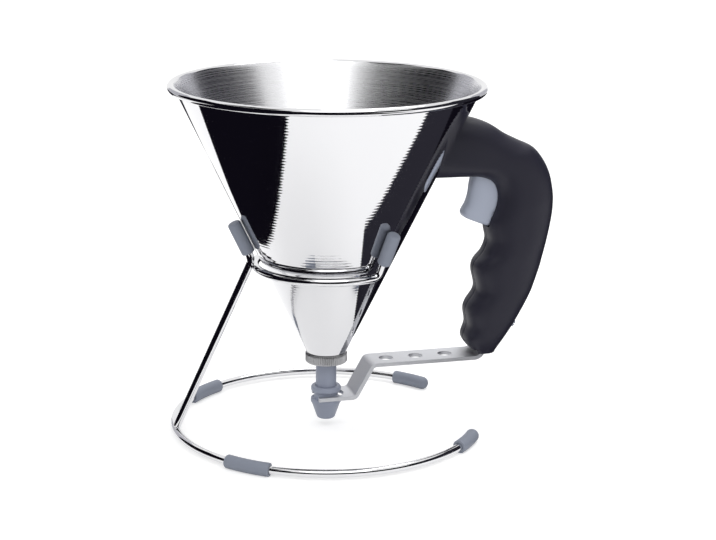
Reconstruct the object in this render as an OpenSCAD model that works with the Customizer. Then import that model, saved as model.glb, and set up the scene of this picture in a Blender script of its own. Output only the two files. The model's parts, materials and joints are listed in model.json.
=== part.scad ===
// Trigger funnel for pancake batter, resting in its wire stand.
// Millimetres, +Z up, table at z = 0, handle towards +X. Inside the modules x = 0 is the
// funnel's axis; place() moves the whole object so that its outline is centred on the origin.

/* [Funnel] */
// Outer diameter over the rolled rim
rim_d = 161.8; // [158:0.2:166]
// Height of the top of the rim above the table
rim_top = 182.9; // [181:0.1:185]
// Radius of the rolled bead at the rim
bead_r = 1.9; // [1.6:0.1:2.2]
// Radius that the cone gains for each millimetre of height
cone_slope = 0.48; // [0.475:0.001:0.485]
// Thickness of the spun steel
cone_wall = 0.8; // [0.6:0.1:1]
// Height of the cone's narrow end
cone_foot = 41; // [41:0.1:42]

/* [Spout and nozzle] */
// Outer radius of the knurled nut
nut_r = 10.95; // [10.6:0.05:11.5]
// Height of the nut's lower face
nut_bottom = 35.2; // [35:0.1:35.3]
// Height of the nut
nut_h = 5.4; // [5.2:0.1:5.5]
// Number of grooves round the nut
nut_grooves = 64; // [24:1:72]
// Outer radius of the valve tube
tube_r = 5.4; // [5.2:0.1:5.5]
// Bore radius of the valve tube
tube_bore_r = 4.7; // [4.5:0.1:4.8]
// Height of the valve tube's lower end
tube_bottom = 16.5; // [16.3:0.1:17]
// Radius of the nozzle's flange
flange_r = 7.9; // [7.6:0.1:8.4]
// Radius of the nozzle's neck, which the fork holds
neck_r = 6.3; // [6.2:0.05:6.4]
// Radius of the nozzle's cup at its top
cup_r = 8; // [7.6:0.1:8.4]
// Radius of the nozzle's tip
tip_r = 4.6; // [4.4:0.1:5]

/* [Lever strip] */
// Width of the steel strip
strip_w = 18; // [17.6:0.1:18.4]
// Thickness of the steel strip
strip_t = 2; // [1.8:0.1:2]
// Radius of the three holes
strip_hole_r = 3.8; // [3:0.1:5]
// Distance between two holes
strip_hole_pitch = 16.35; // [14:0.05:18]

/* [Handle] */
// Half thickness of the grip at its widest
grip_half_w = 13; // [12.6:0.1:14]
// Squareness of the handle's sections: 2 is an ellipse, more is squarer
grip_square = 3.0; // [2.6:0.1:3.6]
// Half thickness of the trigger
trigger_half_w = 5.5; // [5:0.1:5.6]

/* [Stand] */
// Radius of the base ring, to the middle of the wire
base_r = 80; // [78:0.5:84]
// Radius of the wire
wire_r = 2.1; // [1.9:0.1:2.1]
// Radius of the rubber sleeves, caps and pads
rubber_r = 3.5; // [3.3:0.1:3.5]
// Half angle of the gap in the base ring
base_gap = 32; // [28:1:36]
// Half angle of the gap in the cradle ring
cradle_gap = 66.1; // [64:0.1:70]
// Height of the cradle ring
cradle_z = 88; // [87.8:0.1:88.5]
// Length of a rest pad
pad_len = 18; // [14:1:20]

/* [Hidden] */
$fn = 96;
eps = 0.01;

steel = "silver";
chrome = "gainsboro";
black_plastic = "#202124";
grey_rubber = "#7f858d";
slate_plastic = "#8b929b";
light_slate = "#a9b0ba";
silicone = "#d8d4cc";
brass = "#c8a24a";

// Space between a moving piece and its neighbours
gap = 0.3;
// Space between a shaft and its hole, and between the nozzle and its tube
running = 0.06;
sliding = 0.08;

// Cone: outer radius at a height, from the wall that meets the bead
bead_mid_r = rim_d / 2 - bead_r;
bead_z = rim_top - bead_r;
bead_bite = 1.3;
cone_angle = atan(cone_slope);
wall_across = cone_wall / cos(cone_angle);
function cone_r(z) = bead_mid_r - bead_bite - cone_slope * (bead_z - z);
function cone_inner_r(z) = cone_r(z) - wall_across;

// Spout: the ferrule, gasket and tube flange stacked inside the nut
ferrule_r = 9;
ferrule_bore_r = 6.6;
ferrule_bottom = 38;
ferrule_top = cone_foot + 4;
gasket_t = 0.8;
tube_flange_t = 0.6;
tube_flange_r = 8.8;
tube_top = ferrule_bottom - gasket_t;
nut_lip = 1.1;
seat_r = 3;
seat_z = tube_bottom + 0.5;

// Nozzle: heights from the tip up
tip_z = 4.1;
cup_top = 15.1;
groove_top = 18.7;
flange_top = 22;
outlet_r = 3.4;
flange_round = 1.2;
tip_round = 1.2;
lip_h = 2.2;
lip_step = 0.35;
cup_edge = 0.4;
spider_z = 6.8;
spider_h = 1.5;
guide_end = 9.9;
stem_r = 1;
stopper_r = 3.6;

// Lever strip: corners of its middle line in the (x, z) plane, and its pivot
fork_end = -5.7;
fork_z = 16.4;
strip_z = 33.5;
strip_heel = [83.8, strip_z];
strip_top = [93.1, 110.5];
strip_line = [[fork_end, fork_z], [14, fork_z], [23.5, strip_z], strip_heel, strip_top];
strip_bends = [0, 3, 3, 5, 0];
bend_steps = 10;
slot_half_w = neck_r + gap;
slot_root = 2.8;
first_hole = 32.7;
lever_pivot = [89.5, 48];
lever_pin_r = 2;
bush_r = 3.4;
bush_half_w = 9;
arm_narrow_z = 55;
arm_half_w = 5.5;

// Trigger and its pivot
trigger_pivot = [84.5, 136];
trigger_pin_r = 1.5;
trigger_boss_r = 6.5;

// Handle: rows of [front x, front z, back x, back z, half width], from the bottom to the cone
grip_rows = [
    [80.5, 35.6, 90.6, 35.6, 10.8],
    [76.6, 40.2, 94.8, 41.0, 12.0],
    [75.4, 44.0, 97.6, 44.7, 12.5],
    [77.2, 50.3, 101.6, 50.6, 12.8],
    [76.2, 57.5, 105.8, 57.5, grip_half_w],
    [77.4, 62.0, 108.3, 62.0, grip_half_w],
    [81.2, 67.6, 111.2, 68.0, grip_half_w],
    [81.7, 72.0, 112.9, 72.5, grip_half_w],
    [80.0, 79.5, 115.8, 81.0, grip_half_w],
    [81.0, 84.5, 117.2, 86.5, grip_half_w],
    [85.3, 89.5, 118.6, 92.5, grip_half_w],
    [87.5, 95.7, 120.0, 99.0, grip_half_w],
    [87.0, 101.8, 121.4, 106.5, grip_half_w],
    [88.2, 106.5, 122.2, 113.0, grip_half_w],
    [91.3, 113.5, 122.2, 119.0, grip_half_w],
    [92.2, 120.0, 121.3, 125.2, 12.8],
    [90.6, 125.8, 119.5, 132.0, 12.6],
    [87.0, 129.2, 115.8, 138.9, 12.4],
    [80.0, 131.1, 110.5, 145.1, 12.2],
    [72.0, 131.4, 103.5, 149.1, 12.0],
    [64.0, 131.4, 95.0, 153.3, 12.0],
    [57.0, 131.4, 86.5, 157.9, 12.0],
    [50.0, 131.4, 77.0, 161.6, 12.0],
    [44.0, 131.4, 66.0, 163.6, 12.0]
];
grip_steps = 3;
grip_sides = 12;

// Trigger: rows of the same form, from its tip up
trigger_rows = [
    [83.0, 105.6, 85.4, 104.7, 3.0],
    [79.0, 107.2, 87.4, 104.4, 4.6],
    [74.2, 109.2, 89.4, 105.7, trigger_half_w],
    [72.6, 111.2, 91.3, 108.4, trigger_half_w],
    [73.0, 113.4, 91.6, 111.4, trigger_half_w],
    [74.9, 116.8, 95.4, 114.6, trigger_half_w],
    [76.3, 121.5, 97.0, 120.5, trigger_half_w],
    [77.0, 127.0, 96.0, 127.0, trigger_half_w],
    [78.4, 133.5, 91.2, 134.5, trigger_half_w]
];
trigger_square = 3.4;

// Hollows in the handle, as outlines in the (x, z) plane
lever_room = [
    [72, 30], [72, 37], [79.6, 37.6], [82, 41.5], [82.9, 46], [84, 56.5],
    [92, 56.5], [93.6, 52.5], [93.6, 43.5], [88, 38], [88, 30]
];
lever_room_half_w = strip_w / 2 + 0.5;
arm_room = [
    [84, 56], [86.3, 70], [88, 84], [89.7, 96], [90.3, 104], [101, 108],
    [91.8, 56]
];
arm_room_half_w = arm_half_w + 0.5;
trigger_room = [
    [70, 102.9], [92, 102.9], [101, 107], [105, 112], [107.5, 116.8], [107.5, 125.2],
    [104, 133], [92, 139], [76.6, 137], [75.8, 128], [70, 126]
];
trigger_room_half_w = trigger_half_w + 0.4;
bracket_plate = [
    [56, 138], [74.5, 138], [88.5, 146.5], [88.5, 151.5], [79, 155.8], [68, 158]
];
plate_half_t = 1.5;
flange_half_w = 9;
flange_t = 1.2;

// Handle screws: their (x, z) places, and depths from the middle plane
screw_places = [[66.5, 145], [81.5, 150], [113.5, 106], [102, 70]];
screw_r = 1.5;
screw_head_r = 2.8;
screw_head_y = 8.2;
screw_head_h = 1.8;
screw_depth = 7.5;

// Flow screw: where its axis leaves the back of the grip, and its lean below the level
flow_point = [101.4, 50.2];
flow_lean = 30;
flow_screw_r = 1.5;
flow_screw_len = 14.2;
flow_head_r = 1.9;
flow_head_h = 1.8;
insert_r = 2.6;
insert_len = 5.5;

// Return spring: from the trigger's back to the wall of its room
spring_start = 97.5;
spring_end = 107.5;
spring_z = 121;
spring_wire_r = 0.4;
spring_r = 2.8;
spring_turns = 6;
spring_steps = 16;
spring_sides = 6;
spring_pitch = (spring_end - spring_start - 2 * spring_wire_r) / spring_turns;
spring_gap = spring_pitch - 2 * spring_wire_r;
echo(spring_gap = spring_gap);

// Stand
rubber_flat = 0.3;
base_z = rubber_r - rubber_flat;
ball_r = wire_r + 0.04;
base_end_cover = 14.5;
cap_wall = 1.4;
sleeve_angle = 133;
sleeve_half = 8.75;
cradle_r = cone_r(cradle_z) + (rubber_r + gap) / cos(cone_angle);
cradle_bend = 4;
post_knee_z = 92.6;
post_knee = [-cradle_r - cone_slope * (post_knee_z - cradle_z), post_knee_z];
post_foot = [-base_r, base_z + wire_r - 0.2];
post_bend = 8;
pad_z = 96.3;
pad_top_z = pad_z + pad_len * cos(cone_angle);
post_end = [-cradle_r - cone_slope * (pad_top_z - 1.5 - cradle_z), pad_top_z - 1.5];
pad_start = (pad_z - cradle_z) / cos(cone_angle);

// The object reaches from the base ring on one side to the back of the grip on the other
back_reach = 122.3;
centre_x = (back_reach - base_r - wire_r) / 2;

module place() translate([-centre_x, 0, 0]) children();

// ---- Shared shapes ----

function heading(p, q) = atan2(q.y - p.y, q.x - p.x);
function turn_at(pts, i) =
    let (t = heading(pts[i], pts[i + 1]) - heading(pts[i - 1], pts[i])) t > 180 ? t - 360 : t < -180 ? t + 360 : t;
function corner_cut(pts, i, bend_r) =
    i == 0 || i == len(pts) - 1 ? 0 : bend_r * tan(abs(turn_at(pts, i)) / 2);

// Sweeps a flat section along a line in the (x, z) plane, with round bends at its corners.
// The section's x lies across the line in that plane, and its y along the object's y. A ball of
// radius ball_r, a hair thicker than a wire, joins each bend to the straights beside it.
module bent_path(pts, bend_r, ball_r = 0) {
    for (i = [0 : len(pts) - 2]) {
        a = heading(pts[i], pts[i + 1]);
        cut = corner_cut(pts, i, bend_r);
        run = norm(pts[i + 1] - pts[i]) - cut - corner_cut(pts, i + 1, bend_r);
        if (run > eps)
            translate([pts[i].x + cut * cos(a), 0, pts[i].y + cut * sin(a)])
                rotate([0, 90 - a, 0]) linear_extrude(run) children();
    }
    if (len(pts) > 2)
        for (i = [1 : len(pts) - 2]) {
            a = heading(pts[i - 1], pts[i]);
            t = turn_at(pts, i);
            side = t > 0 ? 1 : -1;
            cut = corner_cut(pts, i, bend_r);
            mid = [pts[i].x - cut * cos(a) - side * bend_r * sin(a),
                   pts[i].y - cut * sin(a) + side * bend_r * cos(a)];
            translate([mid.x, 0, mid.y])
                rotate([90, 0, 0]) rotate([0, 0, t > 0 ? a - 90 : a + 90 + t])
                    rotate_extrude(angle = abs(t)) translate([bend_r, 0]) children();
            if (ball_r > 0)
                for (b = [a, a + t])
                    translate([mid.x + side * bend_r * sin(b), 0, mid.y - side * bend_r * cos(b)]) sphere(ball_r);
        }
}

// One side of a bent strip: the line, moved sideways by a distance, with round bends
function strip_side(pts, bends, off) = [
    for (i = [0 : len(pts) - 1])
        if (i == 0 || i == len(pts) - 1)
            let (a = i == 0 ? heading(pts[0], pts[1]) : heading(pts[i - 1], pts[i]))
            pts[i] + off * [-sin(a), cos(a)]
        else
            let (a = heading(pts[i - 1], pts[i]), t = turn_at(pts, i), side = t > 0 ? 1 : -1)
            let (start = pts[i] - corner_cut(pts, i, bends[i]) * [cos(a), sin(a)])
            let (mid = start + side * bends[i] * [-sin(a), cos(a)])
            each [for (s = [0 : bend_steps]) let (b = a + t * s / bend_steps)
                mid + (off - side * bends[i]) * [-sin(b), cos(b)]]
];
function strip_outline(pts, bends, t) =
    let (left = strip_side(pts, bends, t / 2), right = strip_side(pts, bends, -t / 2), n = len(right))
    concat(left, [for (i = [n - 1 : -1 : 0]) right[i]]);

// A smooth curve through rows of numbers, with extra rows between each two
function smooth_row(p, i, t) =
    let (n = len(p) - 1, a = p[max(i - 1, 0)], b = p[i], c = p[min(i + 1, n)], d = p[min(i + 2, n)])
    0.5 * (2 * b + t * (c - a) + t * t * (2 * a - 5 * b + 4 * c - d) + t * t * t * (3 * b - a - 3 * c + d));
function smooth_rows(p, steps) =
    [for (i = [0 : len(p) - 2], s = [0 : steps - 1]) smooth_row(p, i, s / steps), p[len(p) - 1]];

// One closed section: a squared ellipse between a front and a back point
function power(v, n) = sign(v) * pow(abs(v), 2 / n);
function section(row, angles, n) = [
    for (t = angles)
        let (s = (1 - power(cos(t), n)) / 2)
        [row[0] + (row[2] - row[0]) * s, row[4] * power(sin(t), n), row[1] + (row[3] - row[1]) * s]
];

// A solid through the sections of all rows
module loft(rows, angles, n) {
    sides = len(angles);
    last = len(rows) - 1;
    points = [for (row = rows) each section(row, angles, n)];
    walls = [
        for (k = [0 : last - 1], j = [0 : sides - 1])
            let (a = k * sides + j, b = k * sides + (j + 1) % sides, c = b + sides, d = a + sides)
            each [[a, b, c], [a, c, d]]
    ];
    bottom = [for (j = [sides - 1 : -1 : 0]) j];
    top = [for (j = [0 : sides - 1]) last * sides + j];
    polyhedron(points = points, faces = concat(walls, [bottom, top]));
}

// A plate with an outline in the (x, z) plane, between two values of y
module slab(outline, y0, y1)
    translate([0, y1, 0]) rotate([90, 0, 0]) linear_extrude(y1 - y0) polygon(outline);

// A round bar along y at an (x, z) place
module cross_bar(at, r, y0, y1)
    translate([at.x, y1, at.y]) rotate([90, 0, 0]) cylinder(r = r, h = y1 - y0);

// A solid cone a little larger than the funnel's outside
module cone_solid(grow) {
    low = 120;
    high = 175;
    extra = grow / cos(cone_angle);
    translate([0, 0, low]) cylinder(r1 = cone_r(low) + extra, r2 = cone_r(high) + extra, h = high - low);
}

// Along the flow screw's axis: the child's z runs into the grip
module on_flow_axis()
    translate([flow_point.x, 0, flow_point.y]) rotate([0, flow_lean - 90, 0]) children();

// ---- Stand ----

module ring_wire(radius, from, to)
    rotate_extrude(angle = to - from, start = from) translate([radius, 0]) circle(wire_r);

module base_ring() color(chrome) place()
    translate([0, 0, base_z]) ring_wire(base_r, base_gap, 360 - base_gap);

module post() color(chrome) place()
    bent_path([post_foot, post_knee, post_end], post_bend, ball_r) circle(wire_r);

// The frame of a cradle end: x across the wire, y along the ring, z up along the cone
module at_cradle_end(side)
    translate([0, 0, cradle_z]) rotate([0, 0, side * cradle_gap]) translate([cradle_r, 0, 0])
        rotate([0, cone_angle, 0]) children();

module cradle_end(side)
    at_cradle_end(side) rotate([0, 0, -side * 90])
        bent_path([[0, 0], [cradle_bend, 0], [cradle_bend, pad_start + pad_len - 1.5]], cradle_bend, ball_r)
            circle(wire_r);

module cradle_ring() color(chrome) place() {
    translate([0, 0, cradle_z]) ring_wire(cradle_r, cradle_gap, 360 - cradle_gap);
    cradle_end(1);
    cradle_end(-1);
}

// A sleeve round the base wire, flat where it stands on the table
module base_rubber(from, to)
    rotate_extrude(angle = to - from, start = from) difference() {
        translate([base_r, base_z]) circle(rubber_r);
        translate([base_r, base_z]) circle(wire_r);
        translate([base_r - 5, -10]) square([10, 10]);
    }

// A cap over one end of the base wire, closed by a dome
module end_cap() {
    dome_r = 5;
    dome_angle = asin((dome_r - cap_wall) / base_r);
    difference() {
        rotate_extrude(angle = base_end_cover + 3, start = base_gap - 3) difference() {
            translate([base_r, base_z]) circle(rubber_r);
            translate([base_r - 5, -10]) square([10, 10]);
        }
        rotate_extrude(angle = base_end_cover + 1, start = base_gap) translate([base_r, base_z]) circle(wire_r);
        rotate([0, 0, base_gap + dome_angle]) translate([base_r, 0, base_z]) difference() {
            translate([-6, -12, -6]) cube([12, 12, 12]);
            sphere(dome_r);
        }
    }
}

module end_cap_left() color(grey_rubber) place() mirror([0, 1, 0]) end_cap();

module end_cap_right() color(grey_rubber) place() end_cap();

module base_sleeve_left() color(grey_rubber) place()
    mirror([0, 1, 0]) base_rubber(sleeve_angle - sleeve_half, sleeve_angle + sleeve_half);

module base_sleeve_right() color(grey_rubber) place()
    base_rubber(sleeve_angle - sleeve_half, sleeve_angle + sleeve_half);

// A pad along +Z: open for the wire below, closed and rounded at the top
module rest_pad() {
    round_r = 1.2;
    rotate_extrude() difference() {
        union() {
            square([rubber_r, pad_len - round_r]);
            square([rubber_r - round_r, pad_len]);
            translate([rubber_r - round_r, pad_len - round_r]) circle(round_r);
        }
        translate([-1, -1]) square([wire_r + 1, pad_len - 0.5]);
        translate([-10, -1]) square([10, pad_len + 2]);
    }
}

module rest_pad_rear() color(grey_rubber) place()
    translate([-cradle_r - cone_slope * (pad_z - cradle_z), 0, pad_z]) rotate([0, -cone_angle, 0]) rest_pad();

module rest_pad_left() color(grey_rubber) place()
    at_cradle_end(-1) translate([0, cradle_bend, pad_start]) rest_pad();

module rest_pad_right() color(grey_rubber) place()
    at_cradle_end(1) translate([0, -cradle_bend, pad_start]) rest_pad();

// ---- Funnel and valve ----

module cone() color(steel) place()
    rotate_extrude() {
        polygon([
            [cone_inner_r(cone_foot), cone_foot], [cone_r(cone_foot), cone_foot],
            [cone_r(bead_z), bead_z], [cone_inner_r(bead_z), bead_z]
        ]);
        translate([bead_mid_r, bead_z]) circle(bead_r);
    }

module spout_ferrule() color(steel) place()
    rotate_extrude() polygon([
        [ferrule_bore_r, ferrule_bottom], [ferrule_r, ferrule_bottom], [ferrule_r, cone_foot],
        [cone_inner_r(cone_foot), cone_foot], [cone_inner_r(ferrule_top), ferrule_top],
        [ferrule_bore_r, cone_foot - 0.5]
    ]);

module gasket() color(silicone) place()
    rotate_extrude() translate([ferrule_bore_r, tube_top]) square([ferrule_r - ferrule_bore_r, gasket_t]);

module valve_tube() color(slate_plastic) place()
    rotate_extrude() polygon([
        [seat_r, tube_bottom], [tube_r - 0.4, tube_bottom], [tube_r, tube_bottom + 0.4],
        [tube_r, tube_top - tube_flange_t], [tube_flange_r, tube_top - tube_flange_t],
        [tube_flange_r, tube_top], [tube_bore_r + 0.5, tube_top], [tube_bore_r, tube_top - 0.5],
        [tube_bore_r, seat_z + tube_bore_r - seat_r], [seat_r, seat_z]
    ]);

module knurled_nut() color(chrome) place() {
    thread_r = ferrule_r + 0.1;
    chamfer = 0.45;
    groove_r = 0.45;
    difference() {
        rotate_extrude() polygon([
            [tube_r + gap, nut_bottom], [nut_r - chamfer, nut_bottom], [nut_r, nut_bottom + chamfer],
            [nut_r, nut_bottom + nut_h - chamfer], [nut_r - chamfer, nut_bottom + nut_h],
            [thread_r + 0.9, nut_bottom + nut_h], [thread_r, nut_bottom + nut_h - 0.9],
            [thread_r, nut_bottom + nut_lip], [tube_r + gap, nut_bottom + nut_lip]
        ]);
        for (i = [0 : nut_grooves - 1])
            rotate([0, 0, i * 360 / nut_grooves]) translate([nut_r + 0.1, 0, nut_bottom - 1])
                cylinder(r = groove_r, h = nut_h + 2, $fn = 24);
    }
}

// The sliding nozzle: a rounded flange over a groove for the fork, and a cup with a lip that
// tapers to a rounded tip. Three ribs inside it hold the valve stem.
module nozzle() color(slate_plastic) place() {
    rotate_extrude() {
        polygon([
            [outlet_r, tip_z], [tip_r - tip_round, tip_z], [tip_r, tip_z + tip_round],
            [cup_r - lip_step, cup_top - lip_h], [cup_r, cup_top - lip_h], [cup_r, cup_top - cup_edge],
            [cup_r - cup_edge, cup_top], [neck_r, cup_top], [neck_r, groove_top],
            [flange_r - flange_round, groove_top], [flange_r, groove_top + flange_round],
            [flange_r, flange_top - flange_round], [flange_r - flange_round, flange_top],
            [tube_r + sliding, flange_top], [tube_r + sliding, guide_end], [outlet_r, guide_end - 2.2]
        ]);
        for (z = [groove_top + flange_round, flange_top - flange_round])
            translate([flange_r - flange_round, z]) circle(flange_round);
        translate([tip_r - tip_round, tip_z + tip_round]) circle(tip_round);
    }
    difference() {
        translate([0, 0, spider_z]) {
            cylinder(r = stem_r + 0.9, h = spider_h);
            for (i = [0 : 2])
                rotate([0, 0, i * 120]) translate([0, -0.5, 0]) cube([outlet_r + 0.3, 1, spider_h - 0.5]);
        }
        translate([0, 0, spider_z - 1]) cylinder(r = stem_r, h = spider_h + 2);
    }
}

module valve_stem() color(steel) place()
    translate([0, 0, spider_z]) cylinder(r = stem_r, h = seat_z + 4 - spider_z);

module valve_stopper() color(silicone) place() {
    low = seat_z + 0.2;
    shoulder = stopper_r - seat_r + 0.21;
    rotate_extrude() polygon([
        [0, seat_z + 4], [stem_r, seat_z + 4], [stem_r, low], [stopper_r - shoulder + 0.2, low],
        [stopper_r, seat_z + shoulder], [stopper_r, seat_z + 3.6], [2.4, seat_z + 5.2], [0, seat_z + 5.6]
    ]);
}

// ---- Lever strip ----

module lever_strip() color(steel) place()
    difference() {
        union() {
            slab(strip_outline(strip_line, strip_bends, strip_t), -strip_w / 2, strip_w / 2);
            cross_bar(lever_pivot, bush_r, -bush_half_w, bush_half_w);
        }
        translate([slot_root, 0, fork_z - strip_t]) cylinder(r = slot_half_w, h = 2 * strip_t);
        translate([slot_root - 20, -slot_half_w, fork_z - strip_t]) cube([20, 2 * slot_half_w, 2 * strip_t]);
        for (i = [0 : 2])
            translate([first_hole + i * strip_hole_pitch, 0, strip_z - strip_t])
                cylinder(r = strip_hole_r, h = 2 * strip_t);
        for (side = [0, 1])
            mirror([0, side, 0]) translate([70, arm_half_w, arm_narrow_z]) cube([60, 20, 80]);
        cross_bar(lever_pivot, lever_pin_r + running, -20, 20);
    }

// ---- Handle ----

// The half of the handle on the +Y side, with its rooms cut out
module half_shell() {
    angles = [for (j = [0 : grip_sides]) 180 * j / grip_sides];
    difference() {
        loft(smooth_rows(grip_rows, grip_steps), angles, grip_square);
        cone_solid(gap);
        intersection() {
            cone_solid(flange_t);
            translate([40, -flange_half_w, 136]) cube([50, 2 * flange_half_w, 23]);
        }
        slab(bracket_plate, -1, plate_half_t);
        slab(lever_room, -1, lever_room_half_w);
        slab(arm_room, -1, arm_room_half_w);
        slab(trigger_room, -1, trigger_room_half_w);
        cross_bar(trigger_pivot, trigger_boss_r + 0.6, -1, trigger_room_half_w);
        cross_bar(trigger_pivot, trigger_pin_r, -1, 9.5);
        cross_bar(lever_pivot, lever_pin_r, -1, 11);
        on_flow_axis() {
            translate([0, 0, -5]) cylinder(r = insert_r, h = 5 + insert_len);
            cylinder(r = flow_screw_r + gap, h = flow_screw_len);
        }
    }
}

module handle_left() color(black_plastic) place()
    difference() {
        mirror([0, 1, 0]) half_shell();
        for (p = screw_places) cross_bar(p, screw_r, -screw_depth, 1);
    }

module handle_right() color(black_plastic) place()
    difference() {
        half_shell();
        for (p = screw_places) {
            cross_bar(p, screw_r, -1, screw_head_y + 1);
            cross_bar(p, screw_head_r + 0.2, screw_head_y, 20);
        }
    }

module handle_bracket() color(steel) place()
    difference() {
        union() {
            slab(bracket_plate, -plate_half_t, plate_half_t);
            intersection() {
                cone_solid(flange_t);
                translate([40, -flange_half_w, 136]) cube([50, 2 * flange_half_w, 23]);
            }
        }
        cone_solid(0);
        for (i = [0, 1]) cross_bar(screw_places[i], screw_r, -5, 5);
    }

module handle_screws() color(steel) place()
    for (p = screw_places)
        difference() {
            union() {
                cross_bar(p, screw_r, -screw_depth, screw_head_y + 0.5);
                cross_bar(p, screw_head_r, screw_head_y, screw_head_y + screw_head_h);
            }
            for (turn = [0, 90])
                translate([p.x, screw_head_y + screw_head_h, p.y]) rotate([0, turn, 0])
                    cube([3, 1.6, 0.6], center = true);
        }

module trigger_pin() color(steel) place() cross_bar(trigger_pivot, trigger_pin_r, -9.5, 9.5);

module lever_pin() color(steel) place() cross_bar(lever_pivot, lever_pin_r, -11, 11);

module trigger() color(light_slate) place() {
    angles = [for (j = [0 : 23]) 15 * j];
    difference() {
        union() {
            loft(smooth_rows(trigger_rows, 3), angles, trigger_square);
            cross_bar(trigger_pivot, trigger_boss_r, -trigger_half_w, trigger_half_w);
        }
        cross_bar(trigger_pivot, trigger_pin_r + running, -10, 10);
    }
}

// A wound wire along +X, as one tube
module return_spring() color(steel) place() {
    rings = spring_turns * spring_steps;
    points = [
        for (k = [0 : rings], j = [0 : spring_sides - 1])
            let (a = 360 * k / spring_steps, b = 360 * j / spring_sides, r = spring_r + spring_wire_r * cos(b))
            [
                spring_start + spring_wire_r + spring_pitch * k / spring_steps + spring_wire_r * sin(b),
                r * cos(a),
                spring_z + r * sin(a)
            ]
    ];
    walls = [
        for (k = [0 : rings - 1], j = [0 : spring_sides - 1])
            let (a = k * spring_sides + j, b = k * spring_sides + (j + 1) % spring_sides)
            let (c = b + spring_sides, d = a + spring_sides)
            each [[a, b, c], [a, c, d]]
    ];
    start_face = [for (j = [spring_sides - 1 : -1 : 0]) j];
    end_face = [for (j = [0 : spring_sides - 1]) rings * spring_sides + j];
    polyhedron(points = points, faces = concat(walls, [start_face, end_face]));
}

module screw_insert() color(brass) place()
    on_flow_axis() difference() {
        translate([0, 0, 0.8]) cylinder(r = insert_r, h = insert_len - 0.8);
        translate([0, 0, -1]) cylinder(r = flow_screw_r + running, h = insert_len + 2);
    }

module flow_screw() color(slate_plastic) place()
    on_flow_axis() difference() {
        union() {
            translate([0, 0, -flow_head_h]) cylinder(r = flow_head_r, h = flow_head_h);
            cylinder(r = flow_screw_r, h = flow_screw_len);
        }
        translate([0, 0, -flow_head_h]) cube([0.6, 5, 1.2], center = true);
    }

base_ring();
post();
cradle_ring();
end_cap_left();
end_cap_right();
base_sleeve_left();
base_sleeve_right();
rest_pad_rear();
rest_pad_left();
rest_pad_right();
cone();
spout_ferrule();
gasket();
valve_tube();
handle_bracket();
handle_left();
handle_right();
handle_screws();
trigger_pin();
lever_pin();
return_spring();
screw_insert();
knurled_nut();
flow_screw();
trigger();
lever_strip();
nozzle();
valve_stem();
valve_stopper();
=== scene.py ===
"""The looks of a trigger funnel for pancake batter, standing in its wire stand.

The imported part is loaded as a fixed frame. The pieces that show are modelled again with
finer surfaces, in millimetres from the funnel's own axis, and each rides on its body.
"""

from __future__ import annotations

import json
import logging
import math
from dataclasses import dataclass
from enum import Enum
from typing import Iterable, Sequence

import bmesh
import bpy
from mathutils import Matrix, Vector

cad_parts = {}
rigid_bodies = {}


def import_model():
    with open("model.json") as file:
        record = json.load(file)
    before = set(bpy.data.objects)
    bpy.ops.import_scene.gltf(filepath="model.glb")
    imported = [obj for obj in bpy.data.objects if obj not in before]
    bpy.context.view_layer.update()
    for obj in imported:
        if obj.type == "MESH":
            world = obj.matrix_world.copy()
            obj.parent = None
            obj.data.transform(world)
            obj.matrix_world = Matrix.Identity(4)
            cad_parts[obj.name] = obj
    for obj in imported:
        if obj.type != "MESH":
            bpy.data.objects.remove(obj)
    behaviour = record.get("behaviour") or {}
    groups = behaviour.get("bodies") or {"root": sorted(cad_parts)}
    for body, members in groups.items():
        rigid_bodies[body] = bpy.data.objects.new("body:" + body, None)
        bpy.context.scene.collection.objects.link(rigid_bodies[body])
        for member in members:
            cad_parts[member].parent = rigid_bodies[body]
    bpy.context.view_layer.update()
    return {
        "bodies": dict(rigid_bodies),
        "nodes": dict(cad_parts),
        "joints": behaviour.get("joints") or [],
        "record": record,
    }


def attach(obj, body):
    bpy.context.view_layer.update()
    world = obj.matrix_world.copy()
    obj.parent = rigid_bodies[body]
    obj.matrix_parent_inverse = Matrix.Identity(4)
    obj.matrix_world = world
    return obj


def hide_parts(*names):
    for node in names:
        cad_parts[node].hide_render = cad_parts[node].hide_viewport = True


LOG = logging.getLogger("batter_funnel")

MM = 0.001
UM = 1e-6
TURN = 2 * math.pi
AXIS_X = -20.1  # the funnel's axis in the row frame, mm
CONE_SLOPE = 0.48  # radius that the cone gains for each millimetre of height
WELD = 1e-4  # points closer than this are one point, mm
BAR_SIDES = 96
LONGEST = 6.0  # longest straight piece of a wire, mm

Point = tuple[float, float]
Ring = list[Vector]
Place = tuple[Vector, Vector, Vector, float]  # a ring's middle, two directions across and radius


class Body(str, Enum):
    """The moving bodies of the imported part."""

    STAND = "stand"
    FUNNEL = "funnel"
    NUT = "nut"
    TRIGGER = "trigger"
    LEVER = "lever"
    NOZZLE = "sliding_nozzle"
    STOP_SCREW = "stop_screw"


class Slot(str, Enum):
    """The record's material slots."""

    MIRROR_STEEL = "mirror_steel"
    STRIP_STEEL = "strip_steel"
    CHROMED_WIRE = "chromed_wire"
    CHROMED_NUT = "chromed_nut"
    BLACK_PLASTIC = "black_plastic"
    SLATE_PLASTIC = "slate_plastic"
    LIGHT_SLATE = "light_slate_plastic"
    GREY_RUBBER = "grey_rubber"
    SILICONE = "silicone"
    BRASS = "brass"


class Side(Enum):
    """The two sides of the object; LEFT is -Y."""

    LEFT = -1
    RIGHT = 1


# ---- Colour and shader nodes ----


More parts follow.
